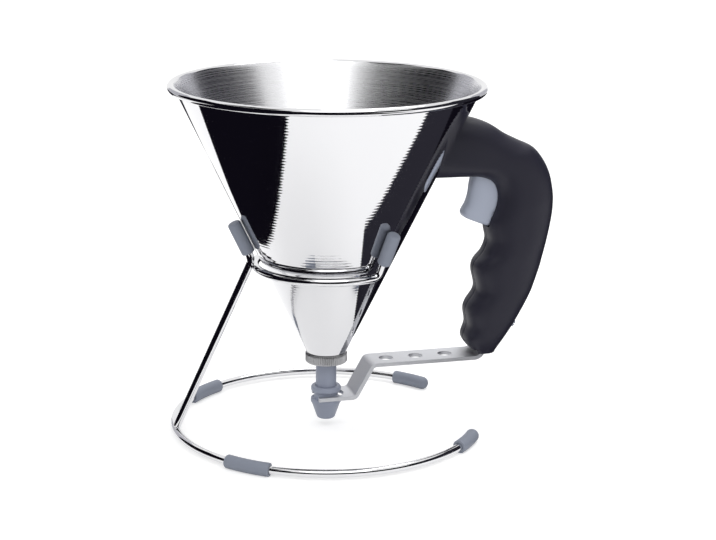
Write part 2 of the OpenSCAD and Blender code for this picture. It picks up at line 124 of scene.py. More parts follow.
def linear_colour(code: str) -> tuple[float, float, float, float]:
    """Turns an sRGB hex value into the linear colour that a shader takes.

    Args:
        code: six hex digits after a hash sign.

    Returns:
        Red, green, blue and alpha.
    """
    knee, slope, offset, power = 0.04045, 12.92, 0.055, 2.4  # the sRGB curve
    parts = [int(code[i : i + 2], 16) / 255 for i in (1, 3, 5)]
    red, green, blue = (
        c / slope if c <= knee else ((c + offset) / (1 + offset)) ** power for c in parts
    )
    return (red, green, blue, 1.0)


def add_node(
    tree: bpy.types.NodeTree, kind: str, inputs: dict | None = None, **settings: object
) -> bpy.types.Node:
    """Adds a node, sets it up and links it.

    Args:
        tree: the material's or the world's node tree.
        kind: the node's Blender type.
        inputs: for each input's name or number, a value or the socket to link from.
        settings: the node's own properties.

    Returns:
        The new node.
    """
    node = tree.nodes.new(kind)
    for name, value in settings.items():
        setattr(node, name, value)
    for name, value in (inputs or {}).items():
        if isinstance(value, bpy.types.NodeSocket):
            tree.links.new(value, node.inputs[name])
        else:
            node.inputs[name].default_value = value
    return node


def new_material(name: str) -> tuple[bpy.types.Material, bpy.types.NodeTree]:
    """Makes an empty material.

    Args:
        name: its name.

    Returns:
        The material and its node tree.
    """
    material = bpy.data.materials.new(name)
    material.use_nodes = True
    material.node_tree.nodes.clear()
    return material, material.node_tree


# ---- Finishes ----


@dataclass(frozen=True)
class SpunSteel:
    """Stainless sheet after spinning: rings left by the roller run round the axis.

    Attributes:
        name: the material's name.
        colour: the metal's reflection colour.
        roughness: how far its reflections spread.
        ring_mm: distance between two rings.
        ring_um: how deep the rings are.
        scratch_mm: distance between two polishing lines, drawn coarser than real ones so that they show.
        scratch_um: how deep these lines are.
        streak: how much the roughness changes from line to line.
        swell: how fast the rings' depth comes and goes, as a share of their own pace.
        detail: how many finer layers the noise has.
        noise_span: the part of the noise that the roughness follows.
    """

    name: str
    colour: str
    roughness: float
    ring_mm: float
    ring_um: float
    scratch_mm: float
    scratch_um: float
    streak: float
    swell: float = 0.4
    detail: float = 1.5
    noise_span: Point = (0.3, 0.7)

    def build(self) -> bpy.types.Material:
        """Builds the material. Rings depend on height alone, so they follow the spun form.

        Returns:
            The material.
        """
        material, tree = new_material(self.name)
        place = add_node(tree, "ShaderNodeTexCoord")
        height = add_node(tree, "ShaderNodeSeparateXYZ", {0: place.outputs["Object"]}).outputs["Z"]
        turns, swells, strokes = (
            add_node(tree, "ShaderNodeMath", {0: height, 1: pace / (gap * MM)}, operation="MULTIPLY")
            for pace, gap in ((TURN, self.ring_mm), (self.swell, self.ring_mm), (1, self.scratch_mm))
        )
        swell, lines = (
            add_node(
                tree,
                "ShaderNodeTexNoise",
                {"W": line.outputs[0], "Scale": 1.0, "Detail": self.detail},
                noise_dimensions="1D",
            ).outputs[0]
            for line in (swells, strokes)
        )
        wave = add_node(tree, "ShaderNodeMath", {0: turns.outputs[0]}, operation="SINE").outputs[0]
        rings, scratches = (
            add_node(tree, "ShaderNodeMath", {0: first, 1: second}, operation="MULTIPLY").outputs[0]
            for first, second in ((wave, swell), (lines, self.scratch_um))
        )
        depth = add_node(
            tree,
            "ShaderNodeMath",
            {0: rings, 1: 2 * self.ring_um, 2: scratches},
            operation="MULTIPLY_ADD",
        )
        bump = add_node(
            tree, "ShaderNodeBump", {"Height": depth.outputs[0], "Strength": 1.0, "Distance": UM}
        )
        spread = add_node(
            tree,
            "ShaderNodeMapRange",
            {
                "Value": lines,
                "From Min": self.noise_span[0],
                "From Max": self.noise_span[1],
                "To Min": self.roughness - self.streak,
                "To Max": self.roughness + self.streak,
            },
        )
        shader = add_node(
            tree,
            "ShaderNodeBsdfPrincipled",
            {
                "Base Color": linear_colour(self.colour),
                "Metallic": 1.0,
                "Roughness": spread.outputs[0],
                "Normal": bump.outputs[0],
            },
        )
        add_node(tree, "ShaderNodeOutputMaterial", {"Surface": shader.outputs[0]})
        return material


@dataclass(frozen=True)
class PlainFinish:
    """A finish of one colour with a fine grain: polished or tumbled metal, moulded plastic, rubber.

    Attributes:
        name: the material's name.
        colour: its colour.
        roughness: how far its reflections spread.
        metallic: 1 for metal.
        grain_mm: size of the grain, drawn coarser than the real one so that it shows.
        grain_um: height of the grain.
        ior: the index of refraction of a plastic or rubber; a metal keeps the default.
        detail: how many finer layers the grain has.
    """

    name: str
    colour: str
    roughness: float
    metallic: float = 0.0
    grain_mm: float = 0.5
    grain_um: float = 0.0
    ior: float = 1.5
    detail: float = 2.0

    def build(self) -> bpy.types.Material:
        """Builds the material.

        Returns:
            The material.
        """
        material, tree = new_material(self.name)
        inputs = {
            "Base Color": linear_colour(self.colour),
            "Metallic": self.metallic,
            "Roughness": self.roughness,
        }
        if not self.metallic:
            inputs["IOR"] = self.ior
        if self.grain_um:
            place = add_node(tree, "ShaderNodeTexCoord")
            scale = 1 / (self.grain_mm * MM)
            grain = add_node(
                tree,
                "ShaderNodeTexNoise",
                {"Vector": place.outputs["Object"], "Scale": scale, "Detail": self.detail},
            )
            bump = add_node(
                tree,
                "ShaderNodeBump",
                {"Height": grain.outputs[0], "Strength": 1.0, "Distance": self.grain_um * UM},
            )
            inputs["Normal"] = bump.outputs[0]
        shader = add_node(tree, "ShaderNodeBsdfPrincipled", inputs)
        add_node(tree, "ShaderNodeOutputMaterial", {"Surface": shader.outputs[0]})
        return material


class Finish(Enum):
    """Every finish on the object, with its slot in the record."""

    # Stainless steel, spun and then polished: a mirror whose edges waver from ring to ring
    POLISHED_STEEL = (
        Slot.MIRROR_STEEL,
        SpunSteel("spun_polished_stainless_steel", "#E4E4E6", 0.05, 1.6, 3.2, 0.6, 0.9, 0.01),
    )
    # The same sheet inside, brushed on the lathe: soft reflections with fine level streaks
    BRUSHED_STEEL = (
        Slot.MIRROR_STEEL,
        SpunSteel("lathe_brushed_stainless_steel", "#ECECEE", 0.27, 3.0, 1.0, 0.5, 5.0, 0.06),
    )
    # Drawn steel wire, chromium plated: sharp black and white lines along the wire
    CHROMED_WIRE = (Slot.CHROMED_WIRE, PlainFinish("chromium_plated_wire", "#E6E6E8", 0.05, 1.0))
    # Turned and knurled brass with a nickel look: greyer and duller than the wire
    CHROMED_NUT = (Slot.CHROMED_NUT, PlainFinish("knurled_plated_brass", "#B4B4B6", 0.28, 1.0))
    # Stamped stainless strip, tumbled: even satin with hardly any reflection
    TUMBLED_STEEL = (
        Slot.STRIP_STEEL,
        PlainFinish("tumbled_stainless_steel", "#DCDDE1", 0.56, 1.0, 0.25, 1.2),
    )
    # Small turned and drawn steel pieces
    BRIGHT_STEEL = (Slot.STRIP_STEEL, PlainFinish("bright_zinc_plated_steel", "#C4C6CA", 0.28, 1.0))
    # Glass filled nylon from an etched mould: black with a faint blue tone and a soft wide sheen
    BLACK_NYLON = (
        Slot.BLACK_PLASTIC,
        PlainFinish("moulded_black_nylon", "#232231", 0.46, 0.0, 0.35, 14.0, 1.45),
    )
    # Acetal, moulded: slate grey and slightly waxy
    SLATE_ACETAL = (
        Slot.SLATE_PLASTIC,
        PlainFinish("moulded_slate_acetal", "#9399AA", 0.42, 0.0, 0.4, 3.0, 1.48),
    )
    # ABS, moulded: the trigger's light blue grey
    LIGHT_ABS = (
        Slot.LIGHT_SLATE,
        PlainFinish("moulded_light_slate_abs", "#AEB5C6", 0.4, 0.0, 0.4, 4.0, 1.53),
    )
    # Nitrile rubber, moulded: dull grey
    GREY_RUBBER = (
        Slot.GREY_RUBBER,
        PlainFinish("moulded_grey_nitrile_rubber", "#888E9C", 0.55, 0.0, 0.4, 8.0, 1.52),
    )
    # Food silicone: milky and soft
    SILICONE = (
        Slot.SILICONE,
        PlainFinish("moulded_food_silicone", "#D8D4CC", 0.5, 0.0, 0.4, 4.0, 1.41),
    )
    # Turned brass thread
    BRASS = (Slot.BRASS, PlainFinish("turned_brass", "#C8A860", 0.3, 1.0))

    def material(self) -> bpy.types.Material:
        """Gives this finish's material, which is built the first time."""
        maker = self.value[1]
        return bpy.data.materials.get(maker.name) or maker.build()

    @property
    def slot(self) -> str:
        """The record's name for this finish."""
        return self.value[0].value


# ---- Mesh helpers, all in millimetres ----


def finished_mesh(name: str, bm: bmesh.types.BMesh) -> bpy.types.Mesh:
    """Turns a mesh under construction into mesh data, and uses it up.

    Args:
        name: the mesh data's name.
        bm: the mesh.

    Returns:
        The mesh data.
    """
    mesh = bpy.data.meshes.new(name)
    bm.to_mesh(mesh)
    bm.free()
    return mesh


def linked(name: str, data: bpy.types.ID) -> bpy.types.Object:
    """Makes an object and links it to the scene.

    Args:
        name: the object's name.
        data: its mesh, light or camera.

    Returns:
        The object.
    """
    made = bpy.data.objects.new(name, data)
    bpy.context.scene.collection.objects.link(made)
    return made


def merge_into(bm: bmesh.types.BMesh, extra: bmesh.types.BMesh) -> None:
    """Adds another mesh's shapes to a mesh.

    Args:
        bm: the mesh to add to.
        extra: the other mesh, which is used up.
    """
    mesh = finished_mesh("extra", extra)
    bm.from_mesh(mesh)
    bpy.data.meshes.remove(mesh)


def polar(radius: float, degrees: float) -> Point:
    """Gives the point at a radius and an angle."""
    turn = math.radians(degrees)
    return (radius * math.cos(turn), radius * math.sin(turn))


def arc(centre: Point, radius: float, start: float, end: float, steps: int) -> list[Point]:
    """Gives the points of an arc.

    Args:
        centre: the arc's centre.
        radius: its radius.
        start: its first angle in degrees.
        end: its last angle in degrees.
        steps: how many pieces it has.

    Returns:
        One more point than steps.
    """
    spots = [polar(radius, start + (end - start) * i / steps) for i in range(steps + 1)]
    return [(centre[0] + x, centre[1] + y) for x, y in spots]


def rounded(corners: Sequence[tuple[float, float, float]], steps: int = 4) -> list[Point]:
    """Rounds the corners of a closed outline.

    Args:
        corners: x, y and the corner's radius, in order.
        steps: how many pieces each rounded corner has.

    Returns:
        The outline's points.
    """
    straight = 1.55  # half a corner's angle, in radians, from which it needs no rounding
    points: list[Point] = []
    count = len(corners)
    for i, (x, y, radius) in enumerate(corners):
        here = Vector((x, y))
        before = (Vector(corners[i - 1][:2]) - here).normalized()
        after = (Vector(corners[(i + 1) % count][:2]) - here).normalized()
        half = before.angle(after) / 2
        if radius <= 0 or half > straight:
            points.append((x, y))
            continue
        reach = radius / math.tan(half)
        centre = here + (before + after).normalized() * (radius / math.sin(half))
        first, last = here + before * reach - centre, here + after * reach - centre
        swing = first.angle_signed(last)
        for k in range(steps + 1):
            points.append(tuple(centre + Matrix.Rotation(-swing * k / steps, 2) @ first))
    return points


def turned(bm: bmesh.types.BMesh, outline: Sequence[Point], steps: int = 128) -> None:
    """Turns a closed outline of (radius, height) points into a solid about the axis.

    Args:
        bm: the mesh to add to.
        outline: the outline's points.
        steps: how many pieces a full turn has.
    """
    verts = [bm.verts.new((x, 0, z)) for x, z in outline]
    edges = [bm.edges.new((verts[i - 1], vert)) for i, vert in enumerate(verts)]
    bmesh.ops.spin(
        bm, geom=verts + edges, cent=(0, 0, 0), axis=(0, 0, 1), angle=TURN, steps=steps, use_merge=True
    )


def skin(bm: bmesh.types.BMesh, rings: Sequence[Ring], closed_ends: bool = True) -> None:
    """Rolls a grid into a tube through closed rings of equally many points.

    Args:
        bm: the mesh to add to.
        rings: the rings in order.
        closed_ends: whether the first and last ring get a face.
    """
    around, along = len(rings[0]), len(rings) - 1
    made = bmesh.ops.create_grid(bm, x_segments=around, y_segments=along, size=0.5)
    for vert in made["verts"]:
        i, j = round((vert.co.x + 0.5) * around), round((vert.co.y + 0.5) * along)
        vert.co = rings[j][i % around]
    bmesh.ops.remove_doubles(bm, verts=made["verts"], dist=WELD)
    if closed_ends:
        bmesh.ops.holes_fill(bm, edges=[e for e in bm.edges if e.is_boundary], sides=0)


def oblong(low: Point, high: Point) -> list[Point]:
    """Gives the corners of a rectangle between its lowest and its highest corner."""
    return [low, (high[0], low[1]), high, (low[0], high[1])]


def prism(outline: Sequence[Point], low: float, high: float) -> bmesh.types.BMesh:
    """Extrudes an outline in the (x, z) plane along y.

    Args:
        outline: the outline's points.
        low: where it starts in y.
        high: where it ends in y.

    Returns:
        A closed mesh.
    """
    bm = bmesh.new()
    face = bm.faces.new([bm.verts.new((x, low, z)) for x, z in outline])
    made = bmesh.ops.extrude_face_region(bm, geom=[face])
    moved = [g for g in made["geom"] if isinstance(g, bmesh.types.BMVert)]
    bmesh.ops.translate(bm, vec=(0, high - low, 0), verts=moved)
    bmesh.ops.recalc_face_normals(bm, faces=bm.faces)
    return bm


def bar(
    start: Sequence[float], end: Sequence[float], radius: float, end_radius: float | None = None
) -> bmesh.types.BMesh:
    """Makes a round bar or a cone between two points.

    Args:
        start: the middle of its first end.
        end: the middle of its last end.
        radius: its radius.
        end_radius: its radius at the last end, if that differs.

    Returns:
        A closed mesh.
    """
    bm = bmesh.new()
    first, last = Vector(start), Vector(end)
    turn = (last - first).to_track_quat("Z", "X").to_matrix().to_4x4()
    bmesh.ops.create_cone(
        bm,
        cap_ends=True,
        segments=BAR_SIDES,
        radius1=radius,
        radius2=radius if end_radius is None else end_radius,
        depth=(last - first).length,
        matrix=Matrix.Translation((first + last) / 2) @ turn,
    )
    return bm


def cross_bar(place: Point, low: float, high: float, radius: float) -> bmesh.types.BMesh:
    """Makes a round bar that runs along y, from one y to another, through an (x, z) place."""
    return bar((place[0], low, place[1]), (place[0], high, place[1]), radius)


def carved(body: bmesh.types.BMesh, cutters: Iterable[bmesh.types.BMesh]) -> bmesh.types.BMesh:
    """Cuts closed meshes out of another one.

    Args:
        body: what is cut.
        cutters: what is taken away.

    Returns:
        The mesh that is left.
    """
    objects = []
    for bm in [body, *cutters]:
        bmesh.ops.recalc_face_normals(bm, faces=bm.faces)
        objects.append(linked("carving", finished_mesh("carving", bm)))
    for cutter in objects[1:]:
        modifier = objects[0].modifiers.new("cut", "BOOLEAN")
        modifier.operation, modifier.solver, modifier.object = "DIFFERENCE", "EXACT", cutter
    bpy.context.view_layer.update()
    whole = objects[0].evaluated_get(bpy.context.evaluated_depsgraph_get())
    result = bpy.data.meshes.new_from_object(whole)
    bm = bmesh.new()
    bm.from_mesh(result)
    for spent in [result, *[o.data for o in objects]]:
        bpy.data.meshes.remove(spent)
    return bm


def softened(bm: bmesh.types.BMesh, width: float, sharper_than: float = 50, segments: int = 2) -> None:
    """Bevels the sharp edges of a mesh.

    Args:
        bm: the mesh.
        width: the bevel's width.
        sharper_than: the angle in degrees from which an edge is sharp.
        segments: how many faces go across the bevel.
    """
    limit = math.radians(sharper_than)
    edges = [e for e in bm.edges if len(e.link_faces) == 2 and e.calc_face_angle(0) > limit]
    bmesh.ops.bevel(
        bm,
        geom=edges,
        offset=width,
        offset_type="OFFSET",
        affect="EDGES",
        segments=segments,
        profile=0.5,
        material=-1,
        clamp_overlap=True,
    )


def blunted(place: Place, outward: Vector, blunt: float) -> list[Place]:
    """Rounds off a wire's end with smaller and smaller rings.

    Args:
        place: the ring at the end.
        outward: the direction in which the wire ends.
        blunt: the radius of the rounding.

    Returns:
        The places of the rings, from the full one to the smallest.
    """
    spot, u, v, radius = place
    turns = [math.radians(degrees) for degrees in (0, 30, 60, 90)]
    return [
        (spot + outward * (blunt * math.sin(a) - blunt), u, v, radius - blunt + blunt * math.cos(a))
        for a in turns
    ]


def wire_rings(path: Sequence[Vector], radius: float, sides: int = 28, blunt: float = 0.5) -> list[Ring]:
    """Gives round rings along a path, square to it, with slightly rounded ends.

    Args:
        path: the middle line's points.
        radius: the wire's radius.
        sides: how many points a ring has.
        blunt: the radius of the rounding at both ends.

    Returns:
        The rings.
    """
    count = len(path)
    tangents = [(path[min(i + 1, count - 1)] - path[max(i - 1, 0)]).normalized() for i in range(count)]
    side = tangents[0].orthogonal().normalized()
    places: list[Place] = []
    for spot, tangent in zip(path, tangents):
        side = (side - tangent * side.dot(tangent)).normalized()
        places.append((spot, side, tangent.cross(side), radius))
    first = blunted(places[0], -tangents[0], blunt)
    last = blunted(places[-1], tangents[-1], blunt)
    turns = [TURN * k / sides for k in range(sides)]
    return [
        [spot + (u * math.cos(turn) + v * math.sin(turn)) * r for turn in turns]
        for spot, u, v, r in first[::-1] + places[1:-1] + last
    ]


def bent_line(corners: Sequence[Vector], radii: Sequence[float], steps: int = 10) -> list[Vector]:
    """Gives the points of a line with rounded corners.

    Args:
        corners: the line's corners.
        radii: the bend radius at each of them; the first and last aren't used.
        steps: how many pieces each bend has.

    Returns:
        The line's points.
    """
    points = [corners[0]]
    for i in range(1, len(corners) - 1):
        here = corners[i]
        before, after = (corners[i - 1] - here).normalized(), (corners[i + 1] - here).normalized()
        half = before.angle(after) / 2
        reach = radii[i] / math.tan(half)
        centre = here + (before + after).normalized() * (radii[i] / math.sin(half))
        first, last = here + before * reach - centre, here + after * reach - centre
        swing, axis = first.angle(last), first.cross(last).normalized()
        points += [centre + Matrix.Rotation(swing * k / steps, 3, axis) @ first for k in range(steps + 1)]
    return points + [corners[-1]]


def along(points: Sequence[Vector]) -> list[Vector]:
    """Adds points so that no two neighbours are further apart than the longest piece.

    Args:
        points: the line's points.

    Returns:
        The points with those between them.
    """
    out = [points[0]]
    for here, there in zip(points, points[1:]):
        parts = max(1, math.ceil((there - here).length / LONGEST))
        out += [here.lerp(there, k / parts) for k in range(1, parts + 1)]
    return out


def squircle(power: float, count: int, whole: bool) -> list[Point]:
    """Gives evenly spread points of a squared circle of radius 1.

    Args:
        power: 2 is a circle, more is squarer.
        count: how many pieces it has.
        whole: the whole outline, or only its upper half from x = 1 to x = -1.

    Returns:
        The points: count of them when whole, otherwise one more.
    """
    fine = 900
    sweep = TURN if whole else math.pi
    raw = []
    for k in range(fine + 1):
        c, s = math.cos(sweep * k / fine), math.sin(sweep * k / fine)
        raw.append(
            Vector((math.copysign(abs(c) ** (2 / power), c), math.copysign(abs(s) ** (2 / power), s)))
        )
    length = [0.0]
    for a, b in zip(raw, raw[1:]):
        length.append(length[-1] + (b - a).length)
    out, k = [], 0
    for i in range(count if whole else count + 1):
        want = length[-1] * i / count
        while k < fine - 1 and length[k + 1] < want:
            k += 1
        share = (want - length[k]) / max(length[k + 1] - length[k], 1e-9)
        out.append(tuple(raw[k].lerp(raw[k + 1], min(share, 1.0))))
    return out


def smooth_row(rows: Sequence[Sequence[float]], place: float) -> list[float]:
    """Gives the numbers at a place along a table of rows, on a smooth curve through them.

    Args:
        rows: the table.
        place: a row number, with fractions between two rows.

    Returns:
        The row there.
    """
    last = len(rows) - 1
    i = min(int(place), last - 1)
    t = place - i
    a, b, c, d = (rows[min(max(k, 0), last)] for k in (i - 1, i, i + 1, i + 2))
    return [
        0.5 * (2 * q + t * (r - p) + t * t * (2 * p - 5 * q + 4 * r - s) + t**3 * (3 * q - p - 3 * r + s))
        for p, q, r, s in zip(a, b, c, d)
    ]


def section(
    rows: Sequence[Sequence[float]], place: float, back_limit: float = math.inf
) -> tuple[Vector, Vector, float]:
    """Gives a section of a piece that is described by rows from its bottom to its top.

    Args:
        rows: front x, front z, back x, back z and half width.
        place: a row number, with fractions between two rows.
        back_limit: the x that the back never passes.

    Returns:
        The section's middle, the way from there to its front, and its half width.
    """
    front_x, front_z, back_x, back_z, half = smooth_row(rows, place)
    front, back = Vector((front_x, 0, front_z)), Vector((min(back_x, back_limit), 0, back_z))
    return (front + back) / 2, (front - back) / 2, half


def to_object(
    name: str, bm: bmesh.types.BMesh, finishes: Sequence[Finish], sharp: float
) -> bpy.types.Object:
    """Turns a mesh in millimetres round the funnel's axis into an object in the row frame.

    Args:
        name: the object's name.
        bm: the mesh, which is used up.
        finishes: the finishes, in the order of the faces' material numbers.
        sharp: the angle in degrees from which an edge stays sharp.

    Returns:
        The object, at the origin.
    """
    bmesh.ops.remove_doubles(bm, verts=bm.verts, dist=WELD)
    bmesh.ops.recalc_face_normals(bm, faces=bm.faces)
    bmesh.ops.translate(bm, vec=(AXIS_X, 0, 0), verts=bm.verts)
    bmesh.ops.scale(bm, vec=(MM, MM, MM), verts=bm.verts)
    mesh = finished_mesh(name, bm)
    for finish in finishes:
        mesh.materials.append(finish.material())
    mesh.shade_smooth()
    mesh.set_sharp_from_angle(angle=math.radians(sharp))
    return linked(name, mesh)


def place_piece(
    name: str,
    bm: bmesh.types.BMesh,
    finishes: Sequence[Finish],
    body: Body,
    nodes: Sequence[str],
    sharp: float = 35,
) -> bpy.types.Object:
    """Makes a piece's object, lets it ride on its body and stand for its CAD nodes.

    Args:
        name: the piece's name.
        bm: its mesh in millimetres.
        finishes: its finishes, in the order of the faces' material numbers.
        body: the body that it rides on.
        nodes: the CAD nodes that it stands for.
        sharp: the angle in degrees from which an edge stays sharp.

    Returns:
        The object.
    """
    made = to_object(name, bm, finishes, sharp)
    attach(made, body.value)
    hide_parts(*nodes)
    LOG.info("%s: %d faces on %s", name, len(made.data.polygons), body.value)
    return made


@dataclass
class Assembly:
    """What all sub-assemblies share.

    Attributes:
    """

    frame: dict

    def dress(self, node: str, finish: Finish) -> None:
        """Gives a CAD node that stays in view its finish.

        Args:
            node: the node's name.
            finish: the finish.
        """
        mesh = self.frame["nodes"][node].data
        mesh.materials.clear()
        mesh.materials.append(finish.material())
        LOG.info("%s: dressed as it is", node)


# ---- Funnel ----


@dataclass
class FunnelBowl(Assembly):
    """The spun cone with its rolled rim.

    Attributes:
        foot_z: height of the narrow end.
        bead: the rolled rim's middle (radius, height).
        bead_r: radius of the roll.
        bead_turn: the angles in degrees where the roll starts and ends.
        seam: where the roll's edge meets the wall, as (radius, depth below the bead's middle).
        wall: thickness of the sheet, measured across the axis.
        wall_top: depth below the bead's middle where the wall ends, outside and inside.
        root_r: outer radius of the wall at the height of the bead's middle.
        brushed: where the brushed inside ends, as (radius, height above the bead's middle).
        rows: how many pieces the wall has from bottom to top.
        steps: how many pieces it has round the axis.
    """

    foot_z: float = 41.0
    bead: Point = (79.0, 181.0)
    bead_r: float = 1.89
    bead_turn: Point = (-112, 152)
    seam: tuple[Point, ...] = ((77.192, 1.1), (77.85, 1.02), (78.12, 1.42))
    wall: float = 0.887
    wall_top: Point = (2.2, 0.6)
    root_r: float = 77.7
    brushed: Point = (77.2, 0.2)
    rows: int = 14
    steps: int = 256

    def outer_r(self, height: float) -> float:
        """Gives the outer radius at a height."""
        return self.root_r - CONE_SLOPE * (self.bead[1] - height)

    def build(self) -> None:
        """Spins the bowl, and gives its inside the brushed finish."""
        rim_z = self.bead[1]
        top_out, top_in = (rim_z - depth for depth in self.wall_top)
        heights = [self.foot_z + (top_out - self.foot_z) * k / self.rows for k in range(self.rows + 1)]
        outside = [(self.outer_r(h), h) for h in heights]
        inside = [(self.outer_r(h) - self.wall, h) for h in [*heights, top_in]]
        seam = [(radius, rim_z - depth) for radius, depth in self.seam]
        roll = arc(self.bead, self.bead_r, *self.bead_turn, steps=30)
        bm = bmesh.new()
        turned(bm, outside + seam + roll + inside[::-1], self.steps)
        bmesh.ops.remove_doubles(bm, verts=bm.verts, dist=WELD)
        bmesh.ops.recalc_face_normals(bm, faces=bm.faces)
        brushed_r, brushed_z = self.brushed
        for face in bm.faces:
            middle = face.calc_center_median()
            faces_in = face.normal.x * middle.x + face.normal.y * middle.y < 0
            below = math.hypot(middle.x, middle.y) < brushed_r and middle.z < rim_z + brushed_z
            face.material_index = int(faces_in and below)
        place_piece("funnel_bowl", bm, [Finish.POLISHED_STEEL, Finish.BRUSHED_STEEL], Body.FUNNEL, ["cone"])
        self.dress("spout_ferrule", Finish.BRIGHT_STEEL)
        self.dress("gasket", Finish.SILICONE)


@dataclass
class ValveSpout(Assembly):
    """The outlet tube and the knurled nut that holds it.

    Attributes:
        tube_r: outer radius of the tube.
        bore_r: radius of its bore.
        tube_z: heights of the tube's lower and upper end.
        seat_r: radius of the hole in the valve seat, at the lower end.
        seat_z: heights of the seat's inner and outer edge above that end.
        flange: radius and thickness of the flange at the upper end.
        nut_r: outer radius of the nut over its ribs.
        nut_z: heights of the nut's lower and upper face.
        bevel: a bevelled end of the nut, as (depth in, distance from the face, share of the knurl).
        faces: how far in from the outside the flat lower and upper face start.
        sink: the countersink over the bore, as (depth in, depth below the face).
        lip: radius of the hole in the nut's lip, and the lip's thickness.
        thread_r: radius of the bore above the lip.
        ribs: how many ribs the knurl has.
        rib_depth: depth of the knurl.
        rib_points: how many points a rib has round the nut.
        rib_power: the lower, the narrower are the ribs.
    """

    tube_r: float = 5.4
    bore_r: float = 4.7
    tube_z: Point = (16.5, 37.2)
    seat_r: float = 3.0
    seat_z: Point = (0.5, 2.2)
    flange: Point = (8.8, 0.6)
    nut_r: float = 10.95
    nut_z: Point = (35.2, 40.6)
    bevel: tuple[tuple[float, float, float], ...] = (
        (0.6, 0.02, 0.1), (0.22, 0.25, 0.6), (0.0, 0.6, 1.0), (0.0, 1.6, 1.0),
    )
    faces: Point = (1.1, 0.95)
    sink: tuple[Point, ...] = ((0.25, 0.75), (0.0, 0.95))
    lip: Point = (5.7, 1.1)
    thread_r: float = 9.1
    ribs: int = 64
    rib_depth: float = 0.42
    rib_points: int = 8
    rib_power: float = 0.8

    def build(self) -> None:
        """Builds the tube and the nut."""
        self.build_tube()
        self.build_nut()

    def build_tube(self) -> None:
        """Turns the tube with its seat and its flange."""
        low, high = self.tube_z
        seat_low, seat_high = (low + height for height in self.seat_z)
        flange_r, flange_z = self.flange[0], high - self.flange[1]
        outline = [
            (self.seat_r, low, 0.0), (self.tube_r, low, 0.4), (self.tube_r, flange_z, 0.0),
            (flange_r, flange_z, 0.1), (flange_r, high, 0.1), (self.bore_r, high, 0.4),
            (self.bore_r, seat_high, 0.3), (self.seat_r, seat_low, 0.1),
        ]
        bm = bmesh.new()
        turned(bm, rounded(outline), steps=96)
        place_piece("valve_tube_turned", bm, [Finish.SLATE_ACETAL], Body.FUNNEL, ["valve_tube"])

    def knurl(self, radius: float, height: float, share: float) -> Ring:
        """Gives one ring of the nut's outside.

        Args:
            radius: its radius over the ribs.
            height: its height.
            share: how deep the knurl is here, from 0 to 1.

        Returns:
            The points of all ribs.
        """
        count = self.ribs * self.rib_points
        ring = []
        for k in range(count):
            wave = 0.5 - 0.5 * math.cos(TURN * k / self.rib_points)
            r = radius - self.rib_depth * share * wave**self.rib_power
            ring.append(Vector((*polar(r, 360 * k / count), height)))
        return ring

    def build_nut(self) -> None:
        """Skins the nut: a knurled outside with bevelled ends, and a bore above a lip."""
        low, high = self.nut_z
        r, bore_r = self.nut_r, self.thread_r
        lip_r, lip_z = self.lip[0], low + self.lip[1]
        face_low, face_high = self.faces
        rows = [(lip_r, low, 0), (r - face_low, low, 0)]
        rows += [(r - depth, low + height, share) for depth, height, share in self.bevel]
        rows += [(r - depth, high - height, share) for depth, height, share in reversed(self.bevel)]
        rows.append((r - face_high, high, 0))
        rows += [(bore_r + depth, high - height, 0) for depth, height in self.sink]
        rows += [(bore_r, lip_z, 0), (lip_r, lip_z, 0), (lip_r, low, 0)]
        bm = bmesh.new()
        skin(bm, [self.knurl(*row) for row in rows], closed_ends=False)
        place_piece("knurled_ring_nut", bm, [Finish.CHROMED_NUT], Body.NUT, ["knurled_nut"], sharp=50)


